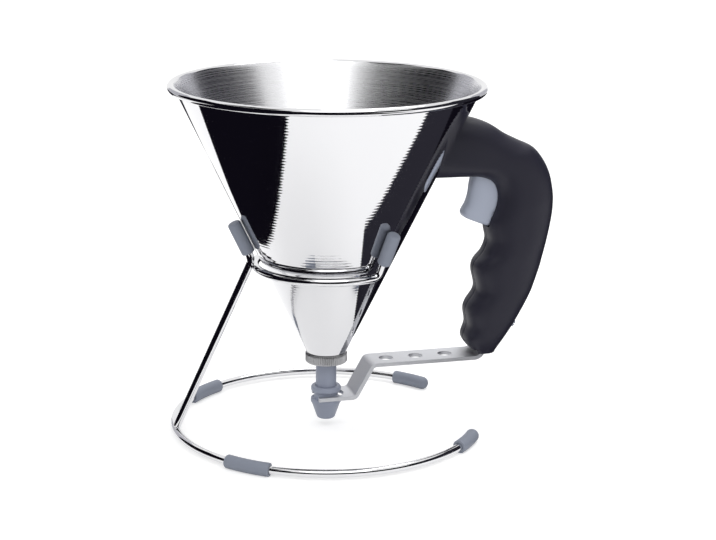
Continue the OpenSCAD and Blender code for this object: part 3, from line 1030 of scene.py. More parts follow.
@dataclass
class SlidingNozzle(Assembly):
    """The nozzle that slides on the valve tube, with the groove that the fork holds.

    Attributes:
        tip_r: radius of the tip.
        tip_z: height of the tip.
        cup_r: radius of the cup.
        cup_z: heights of the cup's rim, below and above.
        cup_step: depth and height of the step below this rim.
        neck_r: radius of the groove's floor.
        flange_r: radius of the rounded flange.
        flange_z: heights of the flange's lower and upper face.
        sleeve_r: radius of the bore that runs on the valve tube.
        outlet_r: radius of the outlet.
        bore_z: heights where the outlet ends and where the wide bore starts.
        hub: radius, lower and upper height of the hub that holds the valve stem.
        rib: inner radius, outer radius, upper height and half thickness of the hub's ribs.
        rib_count: how many of these ribs there are.
    """

    tip_r: float = 4.6
    tip_z: float = 4.1
    cup_r: float = 8.0
    cup_z: Point = (12.95, 15.1)
    cup_step: Point = (0.35, 0.05)
    neck_r: float = 6.3
    flange_r: float = 7.9
    flange_z: Point = (18.7, 22.0)
    sleeve_r: float = 5.48
    outlet_r: float = 3.4
    bore_z: Point = (7.7, 9.9)
    hub: tuple[float, float, float] = (1.9, 6.85, 8.3)
    rib: tuple[float, float, float, float] = (0.9, 3.6, 7.8, 0.5)
    rib_count: int = 3

    def build(self) -> None:
        """Turns the nozzle, and adds the hub and the ribs that hold the valve stem."""
        cup_low, cup_high = self.cup_z
        flange_low, flange_high = self.flange_z
        bore_low, bore_high = self.bore_z
        step_r, step_z = self.cup_r - self.cup_step[0], cup_low - self.cup_step[1]
        outline = [
            (self.outlet_r, self.tip_z, 0.3), (self.tip_r, self.tip_z, 1.15),
            (step_r, step_z, 0.15), (self.cup_r, cup_low, 0.2),
            (self.cup_r, cup_high, 0.4), (self.neck_r, cup_high, 0.15),
            (self.neck_r, flange_low, 0.15), (self.flange_r, flange_low, 1.2),
            (self.flange_r, flange_high, 1.2), (self.sleeve_r, flange_high, 0.25),
            (self.sleeve_r, bore_high, 0.0), (self.outlet_r, bore_low, 0.0),
        ]
        bm = bmesh.new()
        turned(bm, rounded(outline, steps=6), steps=128)
        hub_r, hub_low, hub_high = self.hub
        merge_into(bm, bar((0, 0, hub_low), (0, 0, hub_high), hub_r))
        inner, outer, high, half = self.rib
        for k in range(self.rib_count):
            rib = prism(oblong((inner, hub_low), (outer, high)), -half, half)
            turn = Matrix.Rotation(TURN * k / self.rib_count, 3, "Z")
            bmesh.ops.rotate(rib, cent=(0, 0, 0), matrix=turn, verts=rib.verts)
            merge_into(bm, rib)
        place_piece("sliding_nozzle_turned", bm, [Finish.SLATE_ACETAL], Body.NOZZLE, ["nozzle"])
        self.dress("valve_stem", Finish.BRIGHT_STEEL)
        self.dress("valve_stopper", Finish.SILICONE)


# ---- Lever strip ----


@dataclass
class LeverStrip(Assembly):
    """The stamped steel strip from the fork at the nozzle up to the trigger.

    Attributes:
        corners: the corners of its middle line in the (x, z) plane.
        bends: the bend radius at each corner.
        thick: its thickness.
        half_width: half its width.
        slot: the fork slot's half width, and the x of its round end's middle.
        slot_z: the heights between which the slot is punched.
        holes: the x of the three holes.
        hole_r: their radius.
        hole_z: the heights between which they are punched.
        narrow: half width inside the handle, and the height from which it is so narrow.
        arm: the x range of this narrow arm, and a height above its end.
        pivot: the (x, z) place of its pivot.
        boss_r: radius of the boss round the pivot.
        edge: width of its softened edges.
    """

    corners: tuple[Point, ...] = ((-5.7, 16.4), (14, 16.4), (23.5, 33.5), (83.8, 33.5), (93.1, 110.5))
    bends: tuple[float, ...] = (0, 3, 3, 5, 0)
    thick: float = 2.0
    half_width: float = 9.0
    slot: Point = (6.6, 2.8)
    slot_z: Point = (10.0, 22.0)
    holes: tuple[float, ...] = (32.7, 49.05, 65.4)
    hole_r: float = 3.8
    hole_z: Point = (28.0, 38.0)
    narrow: Point = (5.5, 55.0)
    arm: tuple[float, float, float] = (70.0, 120.0, 130.0)
    pivot: Point = (89.5, 48.0)
    boss_r: float = 3.4
    edge: float = 0.22

    def side_line(self, offset: float) -> list[Point]:
        """Gives one side of the strip's edge view.

        Args:
            offset: its distance from the middle line.

        Returns:
            Its points, from the fork up.
        """
        line = bent_line([Vector((x, 0, z)) for x, z in self.corners], self.bends, steps=14)
        out = []
        for i, spot in enumerate(line):
            ahead = (line[min(i + 1, len(line) - 1)] - line[max(i - 1, 0)]).normalized()
            out.append((spot.x - ahead.z * offset, spot.z + ahead.x * offset))
        return out

    def build(self) -> None:
        """Bends the strip, stamps its slot and holes, and softens its edges."""
        w = self.half_width
        body = prism(self.side_line(self.thick / 2) + self.side_line(-self.thick / 2)[::-1], -w, w)
        gap, root = self.slot
        low, high = self.slot_z
        hole_low, hole_high = self.hole_z
        past = self.corners[0][0] - 10  # beyond the fork's open end
        cutters = [bar((root, 0, low), (root, 0, high), gap)]
        cutters.append(prism(oblong((past, low), (root, high)), -gap, gap))
        cutters += [bar((x, 0, hole_low), (x, 0, hole_high), self.hole_r) for x in self.holes]
        narrow, narrow_z = self.narrow
        first, last, top = self.arm
        for side in Side:
            reach = sorted((side.value * narrow, side.value * (w + 5)))
            cutters.append(prism(oblong((first, narrow_z), (last, top)), *reach))
        bm = carved(body, cutters)
        softened(bm, self.edge)
        merge_into(bm, cross_bar(self.pivot, -w, w, self.boss_r))
        place_piece("lever_strip_stamped", bm, [Finish.TUMBLED_STEEL], Body.LEVER, ["lever_strip"])


# ---- Handle ----


@dataclass
class PistolHandle(Assembly):
    """The two half shells of the handle, and what is fixed in them.

    Attributes:
        rows: front x, front z, back x, back z and half width, from the bottom to the cone.
        back_limit: the x that the back of the grip never passes.
        power: how square its sections are.
        points: how many pieces a half section has.
        fine: how many rings go between two rows.
        bottom: the row where the rounded bottom ends, and the radius of its rounding.
        seam: half width of the parting line between the shells.
        seam_dip: how deep the parting line is, and how far from the middle it starts.
        cone_cut: the heights between which the cone is cut out of the arm.
        cone_gap: the gap between the cone and the arm.
        rooms: the half width and the (x, z) outline of each room inside.
        screws: the (x, z) places of the screws.
        screw_well: radius of a screw's well, the y where it starts, and a y outside the shell.
        flow_place: the flow screw's (x, z) place and its lean in degrees.
        flow_screw: its radius and length, and its head's radius and height.
        flow_slot: half width and depth of the slot in its head.
    """

    rows: tuple[tuple[float, ...], ...] = (
        (80.5, 35.6, 90.6, 35.6, 10.8),
        (76.6, 40.2, 94.8, 41.0, 12.0),
        (75.4, 44.0, 97.6, 44.7, 12.5),
        (77.2, 50.3, 101.6, 50.6, 12.8),
        (76.2, 57.5, 105.8, 57.5, 13.0),
        (77.4, 62.0, 108.3, 62.0, 13.0),
        (81.2, 67.6, 111.2, 68.0, 13.0),
        (81.7, 72.0, 112.9, 72.5, 13.0),
        (80.0, 79.5, 115.8, 81.0, 13.0),
        (81.0, 84.5, 117.2, 86.5, 13.0),
        (85.3, 89.5, 118.6, 92.5, 13.0),
        (87.5, 95.7, 120.0, 99.0, 13.0),
        (86.4, 101.8, 121.4, 106.5, 13.0),
        (86.2, 106.5, 122.2, 113.0, 13.0),
        (89.0, 113.5, 122.2, 119.0, 13.0),
        (90.2, 120.0, 121.3, 125.4, 12.8),
        (89.0, 125.8, 119.5, 132.4, 12.6),
        (86.0, 129.2, 115.8, 139.6, 12.4),
        (80.0, 131.1, 110.5, 145.7, 12.2),
        (72.0, 131.4, 103.5, 149.1, 12.0),
        (64.0, 131.4, 95.0, 153.3, 12.0),
        (57.0, 131.4, 86.5, 158.6, 12.0),
        (50.0, 131.4, 77.0, 162.0, 12.0),
        (44.0, 131.4, 66.0, 163.6, 12.0),
    )
    back_limit: float = 122.25
    power: float = 3.0
    points: int = 44
    fine: int = 6
    bottom: Point = (0.36, 1.3)
    seam: float = 0.07
    seam_dip: Point = (0.22, 0.45)
    cone_cut: Point = (120.0, 175.0)
    cone_gap: float = 0.333
    rooms: tuple[tuple[float, tuple[Point, ...]], ...] = (
        # for the plate that carries the handle
        (1.5, ((56, 138), (74.5, 138), (88.5, 146.5), (88.5, 151.5), (79, 155.8), (68, 158))),
        # for the strip's bend and its pivot, open at the bottom
        (
            9.5,
            (
                (72, 30), (72, 37), (79.6, 37.6), (82, 41.5), (82.9, 46), (84, 56.5),
                (92, 56.5), (93.6, 52.5), (93.6, 43.5), (88, 38), (88, 30),
            ),
        ),
        # for the strip's upper arm
        (6.0, ((84, 56), (86.3, 70), (88, 84), (89.7, 96), (90.3, 104), (101, 108), (91.8, 56))),
        # for the trigger and its spring, open at the front
        (
            5.9,
            (
                (70, 104.0), (91.6, 104.0), (101, 107), (105, 112), (107.5, 116.8), (107.5, 125.2),
                (104, 133), (92, 139), (76.6, 137), (75.8, 128), (70, 126),
            ),
        ),
    )
    screws: tuple[Point, ...] = ((66.5, 145.0), (81.5, 150.0), (113.5, 106.0), (102.0, 70.0))
    screw_well: tuple[float, float, float] = (3.0, 8.2, 20.0)
    flow_place: tuple[float, float, float] = (101.4, 50.2, 30.0)
    flow_screw: tuple[float, float, float, float] = (1.5, 14.2, 1.9, 3.1)
    flow_slot: Point = (0.3, 0.8)

    def ring(self, place: float, shrink: float = 0.0) -> Ring:
        """Gives one half section of the handle.

        Args:
            place: the row number, with fractions.
            shrink: how far the section is drawn in, for the rounded bottom.

        Returns:
            The points of the curved side, then of the flat side.
        """
        middle, reach, half = section(self.rows, place, self.back_limit)
        scale = 1 - shrink / reach.length
        deep, wide = self.seam_dip
        curve = []
        for c, s in squircle(self.power, self.points, whole=False):
            dip = deep * max(0.0, 1 - s * half / wide)
            side = max(s * (half - shrink), self.seam)
            curve.append(middle + reach * c * (scale - dip / reach.length) + Vector((0, side, 0)))
        flat = [curve[-1].lerp(curve[0], t) for t in (0.25, 0.5, 0.75)]
        return curve + flat

    def half(self, side: Side) -> bmesh.types.BMesh:
        """Builds one half shell with its rooms cut out.

        Args:
            side: which half.

        Returns:
            Its mesh.
        """
        start, radius = self.bottom
        rings = []
        for degrees in (90, 67, 45, 22):
            inward, drop = polar(radius, degrees)
            rings.append([p - Vector((0, 0, drop)) for p in self.ring(start, radius - inward)])
        last = (len(self.rows) - 1) * self.fine
        rings += [self.ring(start + (len(self.rows) - 1 - start) * k / last) for k in range(last + 1)]
        bm = bmesh.new()
        skin(bm, rings)
        bowl = FunnelBowl(self.frame)
        ends = [(0, 0, height) for height in self.cone_cut]
        cutters = [bar(*ends, *(bowl.outer_r(height) + self.cone_gap for height in self.cone_cut))]
        cutters += [prism(outline, self.seam - 1, width) for width, outline in self.rooms]
        if side is Side.RIGHT:
            well_r, well_y, outside = self.screw_well
            cutters += [cross_bar(place, well_y, outside, well_r) for place in self.screws]
        bm = carved(bm, cutters)
        if side is Side.LEFT:
            bmesh.ops.scale(bm, vec=(1, -1, 1), verts=bm.verts)
        return bm

    def build(self) -> None:
        """Builds both shells and the flow screw, and dresses the pieces inside."""
        for side in Side:
            word = side.name.lower()
            name, node = f"handle_shell_{word}", f"handle_{word}"
            place_piece(name, self.half(side), [Finish.BLACK_NYLON], Body.FUNNEL, [node], sharp=42)
        for node in ("handle_bracket", "handle_screws", "trigger_pin", "lever_pin", "return_spring"):
            self.dress(node, Finish.BRIGHT_STEEL)
        self.dress("screw_insert", Finish.BRASS)
        self.build_flow_screw()

    def build_flow_screw(self) -> None:
        """Turns the flow screw, whose slotted head stands out of the back of the grip."""
        r, length, head_r, head_h = self.flow_screw
        outline = [
            (0.0, length, 0.0), (r, length, 0.3), (r, 0, 0.0), (head_r, 0, 0.25),
            (head_r, -head_h, 0.4), (0.0, -head_h, 0.0),
        ]
        bm = bmesh.new()
        turned(bm, rounded(outline), steps=48)
        half, deep = self.flow_slot
        slot = prism(oblong((-half, -head_h - 1), (half, deep - head_h)), -head_r - 1, head_r + 1)
        bm = carved(bm, [slot])
        x, z, lean = self.flow_place
        matrix = Matrix.Translation((x, 0, z)) @ Matrix.Rotation(math.radians(lean - 90), 4, "Y")
        bmesh.ops.transform(bm, matrix=matrix, verts=bm.verts)
        place_piece(
            "flow_screw_turned", bm, [Finish.SLATE_ACETAL], Body.STOP_SCREW, ["flow_screw"], sharp=40
        )


@dataclass
class Trigger(Assembly):
    """The trigger's paddle and its boss.

    Attributes:
        rows: front x, front z, back x, back z and half width, from the tip up.
        power: how square its sections are.
        points: how many pieces a section has.
        fine: how many rings go between two rows.
        pivot: the (x, z) place of its pivot.
        boss: radius and half width of the boss round the pivot.
    """

    rows: tuple[tuple[float, ...], ...] = (
        (83.0, 105.6, 85.4, 104.7, 3.0),
        (79.0, 107.2, 87.4, 104.4, 4.6),
        (74.2, 109.2, 89.4, 105.7, 5.5),
        (72.6, 111.2, 91.3, 108.4, 5.5),
        (73.0, 113.4, 91.6, 111.4, 5.5),
        (74.9, 116.8, 95.4, 114.6, 5.5),
        (76.3, 121.5, 97.0, 120.5, 5.5),
        (77.0, 127.0, 96.0, 127.0, 5.5),
        (78.4, 133.5, 91.2, 134.5, 5.5),
    )
    power: float = 3.4
    points: int = 64
    fine: int = 6
    pivot: Point = (84.5, 136.0)
    boss: Point = (6.5, 5.5)

    def ring(self, place: float) -> Ring:
        """Gives the section at a place along the rows.

        Args:
            place: the row number, with fractions.

        Returns:
            Its points.
        """
        middle, reach, half = section(self.rows, place)
        outline = squircle(self.power, self.points, whole=True)
        return [middle + reach * c + Vector((0, s * half, 0)) for c, s in outline]

    def build(self) -> None:
        """Skins the paddle and adds the boss that turns on the pin."""
        bm = bmesh.new()
        last = (len(self.rows) - 1) * self.fine
        skin(bm, [self.ring(k / self.fine) for k in range(last + 1)])
        boss_r, half = self.boss
        merge_into(bm, cross_bar(self.pivot, -half, half, boss_r))
        place_piece("trigger_paddle", bm, [Finish.LIGHT_ABS], Body.TRIGGER, ["trigger"], sharp=40)


# ---- Stand ----


@dataclass
class WireStand(Assembly):
    """The wire stand: an open base ring, a post and a cradle that carries the cone on three pads.

    Attributes:
        wire_r: radius of the wire.
        base_r: radius of the base ring.
        base_z: height of its middle line.
        base_gap: half angle of its gap, in degrees.
        cradle_r: radius of the cradle ring.
        cradle_z: its height.
        cradle_gap: half angle of its gap, in degrees.
        cradle_bend: the cradle's bends up into the pads.
        post_weld: how far above the base ring's middle line the post starts.
        knee_z: height of the post's bend.
        knee_r: radius of this bend.
        rubber_r: radius of caps, sleeves and pads.
        hole_r: radius of the hole in a pad.
        cap: where an end cap starts and ends, in degrees past the ring's end.
        sleeve: the angle of a sleeve's middle, and half of what it covers, in degrees.
        open_end: an open end of a cap or sleeve, as (distance along it, radius).
        domed_end: the closed end of a cap.
        pad_len: length of a pad.
        pad_z: height of a pad's lower end.
        pad_top: thickness of a pad's closed end.
    """

    wire_r: float = 2.075
    base_r: float = 80.0
    base_z: float = 3.2
    base_gap: float = 32.0
    cradle_r: float = 37.255
    cradle_z: float = 88.0
    cradle_gap: float = 66.1
    cradle_bend: float = 4.0
    post_weld: float = 1.9
    knee_z: float = 92.6
    knee_r: float = 8.0
    rubber_r: float = 3.5
    hole_r: float = 2.12
    cap: Point = (-1.0, 14.5)
    sleeve: Point = (133.0, 8.75)
    open_end: tuple[Point, ...] = ((0.5, 2.12), (0.0, 2.2), (0.0, 3.1), (0.12, 3.38), (0.4, 3.5))
    domed_end: tuple[Point, ...] = (
        (0.0, 0.02), (0.0, 0.6), (0.06, 1.1), (0.25, 1.75), (0.6, 2.35), (1.1, 2.85), (1.7, 3.22), (2.5, 3.5),
    )
    pad_len: float = 18.0
    pad_z: float = 96.3
    pad_top: float = 1.5

    @property
    def lean(self) -> float:
        """The angle at which the pads lean outwards along the cone."""
        return math.atan(CONE_SLOPE)

    @property
    def pad_start(self) -> float:
        """The distance along a pad's wire from the cradle ring up to the pad."""
        return (self.pad_z - self.cradle_z) / math.cos(self.lean)

    def ring_path(self, radius: float, height: float, gap: float, step: float) -> list[Vector]:
        """Gives the points of a level ring round the axis that is open towards the handle.

        Args:
            radius: its radius.
            height: its height.
            gap: half angle of its gap, in degrees.
            step: the largest angle between two points.

        Returns:
            Its points.
        """
        sweep = 360 - 2 * gap
        parts = math.ceil(sweep / step)
        return [Vector((*polar(radius, gap + sweep * k / parts), height)) for k in range(parts + 1)]

    def wire(self, name: str, path: Sequence[Vector], node: str) -> None:
        """Makes a piece of chromed wire.

        Args:
            name: the piece's name.
            path: its middle line.
            node: the CAD node that it stands for.
        """
        bm = bmesh.new()
        skin(bm, wire_rings(path, self.wire_r))
        place_piece(name, bm, [Finish.CHROMED_WIRE], Body.STAND, [node], sharp=60)

    def rubber(self, name: str, bm: bmesh.types.BMesh, node: str) -> None:
        """Places a piece of grey rubber on the stand, for one CAD node."""
        place_piece(name, bm, [Finish.GREY_RUBBER], Body.STAND, [node], sharp=50)

    def build(self) -> None:
        """Builds the wires and the rubber pieces."""
        self.wire("base_wire", self.ring_path(self.base_r, self.base_z, self.base_gap, 1.5), "base_ring")
        self.wire("post_wire", self.post_path(), "post")
        self.wire("cradle_wire", self.cradle_path(), "cradle_ring")
        self.build_base_rubbers()
        self.build_pads()

    def cone_side(self, height: float) -> Vector:
        """Gives the point at a height on the line that leans back along the cone."""
        return Vector((-self.cradle_r - CONE_SLOPE * (height - self.cradle_z), 0, height))

    def post_path(self) -> list[Vector]:
        """Gives the post's middle line: from the base ring up, with a bend along the cone.

        Returns:
            Its points.
        """
        top_z = self.pad_z + self.pad_len * math.cos(self.lean) - self.pad_top
        foot = Vector((-self.base_r, 0, self.base_z + self.post_weld))
        corners = [foot, self.cone_side(self.knee_z), self.cone_side(top_z)]
        return along(bent_line(corners, [0, self.knee_r, 0], steps=12))

    def cradle_end(self, side: Side) -> Matrix:
        """Gives the frame of a cradle end.

        Args:
            side: which end.

        Returns:
            The frame, with y along the ring and z up along the cone.
        """
        return (
            Matrix.Translation((0, 0, self.cradle_z))
            @ Matrix.Rotation(math.radians(side.value * self.cradle_gap), 4, "Z")
            @ Matrix.Translation((self.cradle_r, 0, 0))
            @ Matrix.Rotation(self.lean, 4, "Y")
        )

    def cradle_path(self) -> list[Vector]:
        """Gives the cradle's middle line: up one pad, round the ring and up the other pad.

        Returns:
            Its points.
        """
        top = self.pad_start + self.pad_len - self.pad_top
        ends = {}
        for side in Side:
            away = -side.value * self.cradle_bend
            corners = [Vector((0, 0, 0)), Vector((0, away, 0)), Vector((0, away, top))]
            bend = bent_line(corners, [0, self.cradle_bend - 0.02, 0], steps=12)
            ends[side] = [self.cradle_end(side) @ point for point in along(bend[1:])]
        ring = self.ring_path(self.cradle_r, self.cradle_z, self.cradle_gap, 2.5)
        return ends[Side.RIGHT][::-1] + ring[1:-1] + ends[Side.LEFT]

    def base_rubber(self, start: float, end: float, dome: bool) -> bmesh.types.BMesh:
        """Makes a sleeve or a cap on the base ring, flat where it stands on the table.

        Args:
            start: its first angle; a cap's closed end.
            end: its last angle, where it is open.
            dome: whether the first end is closed and rounded.

        Returns:
            Its mesh.
        """
        sides, parts = 48, 14
        mm = math.degrees(1 / self.base_r)
        body = [(start + s * mm, r) for s, r in (self.domed_end if dome else self.open_end)]
        body += [(start + (end - start) * k / parts, self.rubber_r) for k in range(2, parts - 1)]
        body += [(end - s * mm, r) for s, r in reversed(self.open_end)]
        rings = []
        for turn, radius in body:
            ring = []
            for k in range(sides):
                out, up = polar(radius, 360 * k / sides)
                ring.append(Vector((*polar(self.base_r + out, turn), max(self.base_z + up, 0.0))))
            rings.append(ring)
        bm = bmesh.new()
        skin(bm, rings, closed_ends=False)
        if dome:
            tip = [e for e in bm.edges if e.is_boundary and e.calc_length() < 0.1]
            bmesh.ops.holes_fill(bm, edges=tip, sides=0)
        return bm

    def build_base_rubbers(self) -> None:
        """Makes the two caps and the two sleeves of the base ring."""
        cap_start, cap_end = (self.base_gap + turn for turn in self.cap)
        middle, half = self.sleeve
        for side in Side:
            word = side.name.lower()
            for kind, node, bm in (
                ("wire_end_cap", "end_cap", self.base_rubber(cap_start, cap_end, dome=True)),
                ("wire_sleeve", "base_sleeve", self.base_rubber(middle - half, middle + half, dome=False)),
            ):
                if side is Side.LEFT:
                    bmesh.ops.scale(bm, vec=(1, -1, 1), verts=bm.verts)
                self.rubber(f"{kind}_{word}", bm, f"{node}_{word}")

    def build_pads(self) -> None:
        """Makes the three rest pads: closed at the top, with the wire going in below."""
        r, top, hole_top = self.rubber_r, self.pad_len, self.pad_len - self.pad_top
        outline = [
            (0.0, top, 0.0), (r, top, 1.3), (r, 0, 0.6), (self.hole_r, 0, 0.0), (self.hole_r, hole_top, 0.0),
            (0.0, hole_top, 0.0),
        ]
        rear = Matrix.Translation(self.cone_side(self.pad_z)) @ Matrix.Rotation(-self.lean, 4, "Y")
        places = {"rear": rear}
        for side in Side:
            reach = Matrix.Translation((0, -side.value * self.cradle_bend, self.pad_start))
            places[side.name.lower()] = self.cradle_end(side) @ reach
        for word, matrix in places.items():
            bm = bmesh.new()
            turned(bm, rounded(outline, steps=6), steps=64)
            bmesh.ops.transform(bm, matrix=matrix, verts=bm.verts)
            self.rubber(f"cradle_pad_{word}", bm, f"rest_pad_{word}")


# ---- Studio ----


@dataclass
class Studio:
    """The pale floor, the soft lights, the cards and screens that polished metal needs, and the camera.

    Attributes:
        eye: the camera's place in the row frame, mm.
        heading: its direction in degrees from +Y towards +X.
        dip: how far it looks down, in degrees.
        roll: its roll in degrees.
        lens: its focal length in mm for a sensor 36 mm wide.
        sky: how strongly the white surround lights what isn't a mirror.
        glow: how much the floor shines by itself, for the camera and in mirrors.
        lift: how much more it does so for the camera.
        card_z: height of the cards over the floor, mm.
        far: distance of the screens from the funnel's axis, m.
        level: the height from which their angles count, m.
    """

    eye: tuple[float, float, float] = (-241.6, -868.9, 326.0)
    heading: float = 15.34
    dip: float = 15.06
    roll: float = 0.6
    lens: float = 89.93
    sky: float = 0.84
    glow: float = 0.33
    lift: float = 0.09
    card_z: float = 0.4
    far: float = 1.5
    level: float = 0.18

    def build(self) -> None:
        """Builds the whole studio."""
        self.build_world()
        self.build_floor()
        self.build_cards()
        self.build_lamps()
        self.build_camera()
        bpy.context.scene.view_settings.view_transform = "Standard"

    def seen(self, tree: bpy.types.NodeTree) -> bpy.types.NodeSocket:
        """Adds a value that tells what the camera, a mirror or glass shows.

        Args:
            tree: the node tree to add it to.

        Returns:
            A socket that is 1 for such rays and otherwise 0.
        """
        path = add_node(tree, "ShaderNodeLightPath")
        shown = path.outputs["Is Camera Ray"]
        for ray in ("Is Glossy Ray", "Is Transmission Ray"):
            both = {0: shown, 1: path.outputs[ray]}
            shown = add_node(tree, "ShaderNodeMath", both, operation="MAXIMUM").outputs[0]
        return shown

    def build_world(self) -> None:
        """Makes a white surround that shows at full strength and lights at a plain level."""
        world = bpy.data.worlds.new("studio")
        world.use_nodes = True
        tree = world.node_tree
        tree.nodes.clear()
        strength = add_node(
            tree, "ShaderNodeMapRange", {"Value": self.seen(tree), "To Min": self.sky, "To Max": 1.0}
        )
        sky = add_node(
            tree,
            "ShaderNodeBackground",
            {"Color": linear_colour("#FFFFFF"), "Strength": strength.outputs[0]},
        )
        add_node(tree, "ShaderNodeOutputWorld", {"Surface": sky.outputs[0]})
        bpy.context.scene.world = world

    def floor_paint(self) -> bpy.types.Material:
        """Builds the floor's paint, which shines a little by itself so that it stays white.

        Returns:
            The material.
        """
        material, tree = new_material("painted_floor")
        matte = add_node(tree, "ShaderNodeBsdfDiffuse", {"Color": linear_colour("#E6E6E6")})
        eye = add_node(tree, "ShaderNodeLightPath").outputs["Is Camera Ray"]
        extra = add_node(tree, "ShaderNodeMath", {0: eye, 1: self.lift}, operation="MULTIPLY").outputs[0]
        terms = {0: self.seen(tree), 1: self.glow, 2: extra}
        strength = add_node(tree, "ShaderNodeMath", terms, operation="MULTIPLY_ADD").outputs[0]
        glow = add_node(
            tree, "ShaderNodeEmission", {"Color": linear_colour("#FFFFFF"), "Strength": strength}
        )
        both = add_node(tree, "ShaderNodeAddShader", {0: matte.outputs[0], 1: glow.outputs[0]})
        add_node(tree, "ShaderNodeOutputMaterial", {"Surface": both.outputs[0]})
        return material

    def build_floor(self) -> None:
        """Makes the pale floor, which keeps the object's shadow."""
        bm = bmesh.new()
        bmesh.ops.create_circle(bm, cap_ends=True, segments=96, radius=4.0)
        self.stand("floor", bm, self.floor_paint(), for_mirrors=False)

    def card(self, name: str, corners: Sequence[Point], material: bpy.types.Material) -> None:
        """Lays a card on the floor that only mirrors see.

        Args:
            name: its name.
            corners: its corners in mm from the funnel's axis.
            material: its material.
        """
        bm = bmesh.new()
        bm.faces.new([bm.verts.new(((x + AXIS_X) * MM, y * MM, self.card_z * MM)) for x, y in corners])
        self.stand(name, bm, material, for_mirrors=True)

    def screen(
        self, name: str, start: float, end: float, low: float, high: float, material: bpy.types.Material
    ) -> None:
        """Stands or hangs a bent screen far out, that only mirrors see.

        Args:
            name: its name.
            start: the angle round the axis where it starts, in degrees.
            end: the angle where it ends.
            low: how high its lower edge is above the rim, in degrees; -6.8 is on the floor.
            high: how high its upper edge is.
            material: its material.
        """
        bm = bmesh.new()
        x, y = polar(self.far, start)
        heights = [self.level + self.far * math.tan(math.radians(turn)) for turn in (low, high)]
        ends = [bm.verts.new((x, y, height)) for height in heights]
        edge = bm.edges.new(ends)
        sweep = math.radians(end - start)
        bmesh.ops.spin(bm, geom=[*ends, edge], cent=(0, 0, 0), axis=(0, 0, 1), angle=sweep, steps=24)
        bmesh.ops.translate(bm, vec=(AXIS_X * MM, 0, 0), verts=bm.verts)
        self.stand(name, bm, material, for_mirrors=True)

    def stand(
        self, name: str, bm: bmesh.types.BMesh, material: bpy.types.Material, for_mirrors: bool
    ) -> None:
        """Adds a stage object.

        Args:
            name: its name.
            bm: its mesh, in metres.
            material: its material.
            for_mirrors: whether only mirrors see it.
        """
        mesh = finished_mesh(name, bm)
        mesh.materials.append(material)
        made = linked(name, mesh)
        if for_mirrors:
            made.visible_camera = False
            made.visible_diffuse = False
            made.visible_shadow = False
            made.visible_transmission = False

    def cloth(self, name: str, code: str) -> bpy.types.Material:
        """Builds the matte cloth of a card.

        Args:
            name: the material's name.
            code: its colour.

        Returns:
            The material.
        """
        material, tree = new_material(name)
        matte = add_node(tree, "ShaderNodeBsdfDiffuse", {"Color": linear_colour(code)})
        add_node(tree, "ShaderNodeOutputMaterial", {"Surface": matte.outputs[0]})
        return material

    def build_cards(self) -> None:
        """Lays dark cards on the floor, and stands dark screens in front and pale ones behind."""
        black = self.cloth("black_velvet", "#0E0C14")
        dusk = self.cloth("charcoal_felt", "#2B2A32")
        pale = self.cloth("pale_grey_felt", "#C6C6CC")
        left = [
            (-128, -10), (-125, 30), (-119, 87), (-113, 134), (-97, 200), (-95, 235), (-134, 243),
            (-189, 229), (-237, 222), (-1500, 200), (-1500, -1400), (-128, -1400),
        ]
        right = [(69, 55), (69, -92), (105, -88), (150, -85), (215, -77), (1500, -60), (1500, 55)]
        far_right = [(69, 400), (69, 55), (1500, 55), (1500, 800), (300, 800)]
        front = [(-128, -215), (-128, -1400), (330, -1400), (250, -215)]
        edge = [(-62, 500), (-48, 409), (-37, 327), (-28, 259), (59, 300), (69, 400), (69, 600)]
        back = [(-600, 460), (200, 620), (200, 1400), (-600, 1400)]
        self.card("floor_card_left", left, black)
        self.card("floor_card_right", right, dusk)
        self.card("floor_card_far_right", far_right, black)
        self.card("floor_card_front", front, black)
        self.card("floor_card_edge", edge, dusk)
        self.card("floor_card_back", back, dusk)
        floor = -6.8  # a lower edge at this angle stands on the floor
        self.screen("left_screen", 128, 229, floor, 41, black)
        self.screen("right_screen", -38, 30, floor, 39, dusk)
        self.screen("front_screen", -131, -38, floor, 26, black)
        self.screen("left_flag", 152, 212, 44, 62, black)
        self.screen("back_screen_right", 30, 54, floor, 26, pale)
        self.screen("back_screen_left", 102, 128, floor, 30, pale)

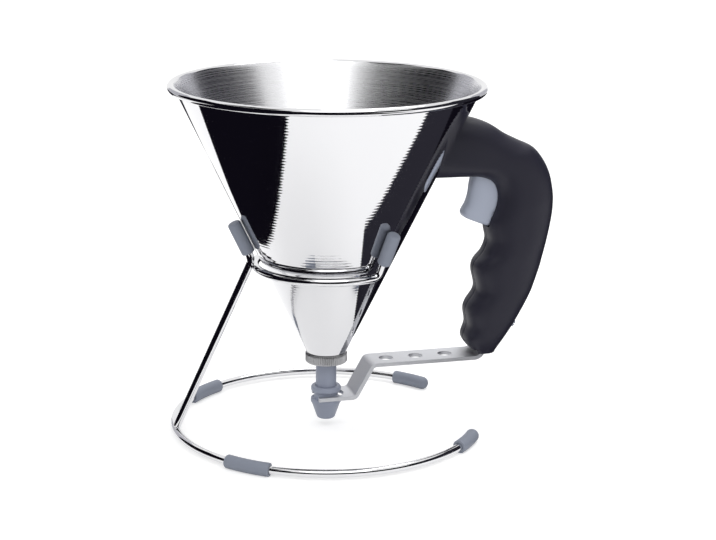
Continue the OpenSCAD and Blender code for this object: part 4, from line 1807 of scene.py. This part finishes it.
    def lamp(
        self, name: str, place: Sequence[float], aim: Sequence[float], size: tuple[float, float], power: float
    ) -> None:
        """Hangs a soft light.

        Args:
            name: its name.
            place: where it hangs, in metres.
            aim: what it points at, in metres.
            size: its width and height, in metres.
            power: its power in watts.
        """
        data = bpy.data.lights.new(name, "AREA")
        data.shape, data.energy = "RECTANGLE", power
        data.size, data.size_y = size
        lamp = linked(name, data)
        lamp.location = place
        lamp.rotation_euler = (Vector(aim) - Vector(place)).to_track_quat("-Z", "Y").to_euler()

    def build_lamps(self) -> None:
        """Hangs a wide light in front, white in the bowl's back, and one high overhead."""
        self.lamp("wide_light", (-0.08, -1.05, 1.4), aim=(0, 0, 0.1), size=(1.2, 1.0), power=4.4)
        self.lamp("top_light", (0.4, 0.25, 1.35), aim=(0.05, 0, 0.1), size=(0.6, 0.6), power=5.0)

    def build_camera(self) -> None:
        """Places the camera where the photograph was taken from."""
        turn, dip, roll = (math.radians(a) for a in (self.heading, self.dip, self.roll))
        ahead = Vector((math.sin(turn) * math.cos(dip), math.cos(turn) * math.cos(dip), -math.sin(dip)))
        level = Vector((math.cos(turn), -math.sin(turn), 0))
        upward = level.cross(ahead)
        across = level * math.cos(roll) + upward * math.sin(roll)
        upright = upward * math.cos(roll) - level * math.sin(roll)
        data = bpy.data.cameras.new("camera")
        data.sensor_fit, data.sensor_width, data.lens = "HORIZONTAL", 36.0, self.lens
        camera = linked("camera", data)
        matrix = Matrix((across, upright, -ahead)).transposed().to_4x4()
        camera.matrix_world = Matrix.Translation(Vector(self.eye) * MM) @ matrix
        bpy.context.scene.camera = camera


def main() -> None:
    """Loads the frame, builds every sub-assembly in order, and notes the sizes."""
    logging.basicConfig(level=logging.INFO, format="%(name)s: %(message)s")
    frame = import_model()
    for assembly in (
        FunnelBowl(frame),
        ValveSpout(frame),
        SlidingNozzle(frame),
        LeverStrip(frame),
        PistolHandle(frame),
        Trigger(frame),
        WireStand(frame),
        Studio(),
    ):
        assembly.build()


if __name__ == "__main__":
    main()
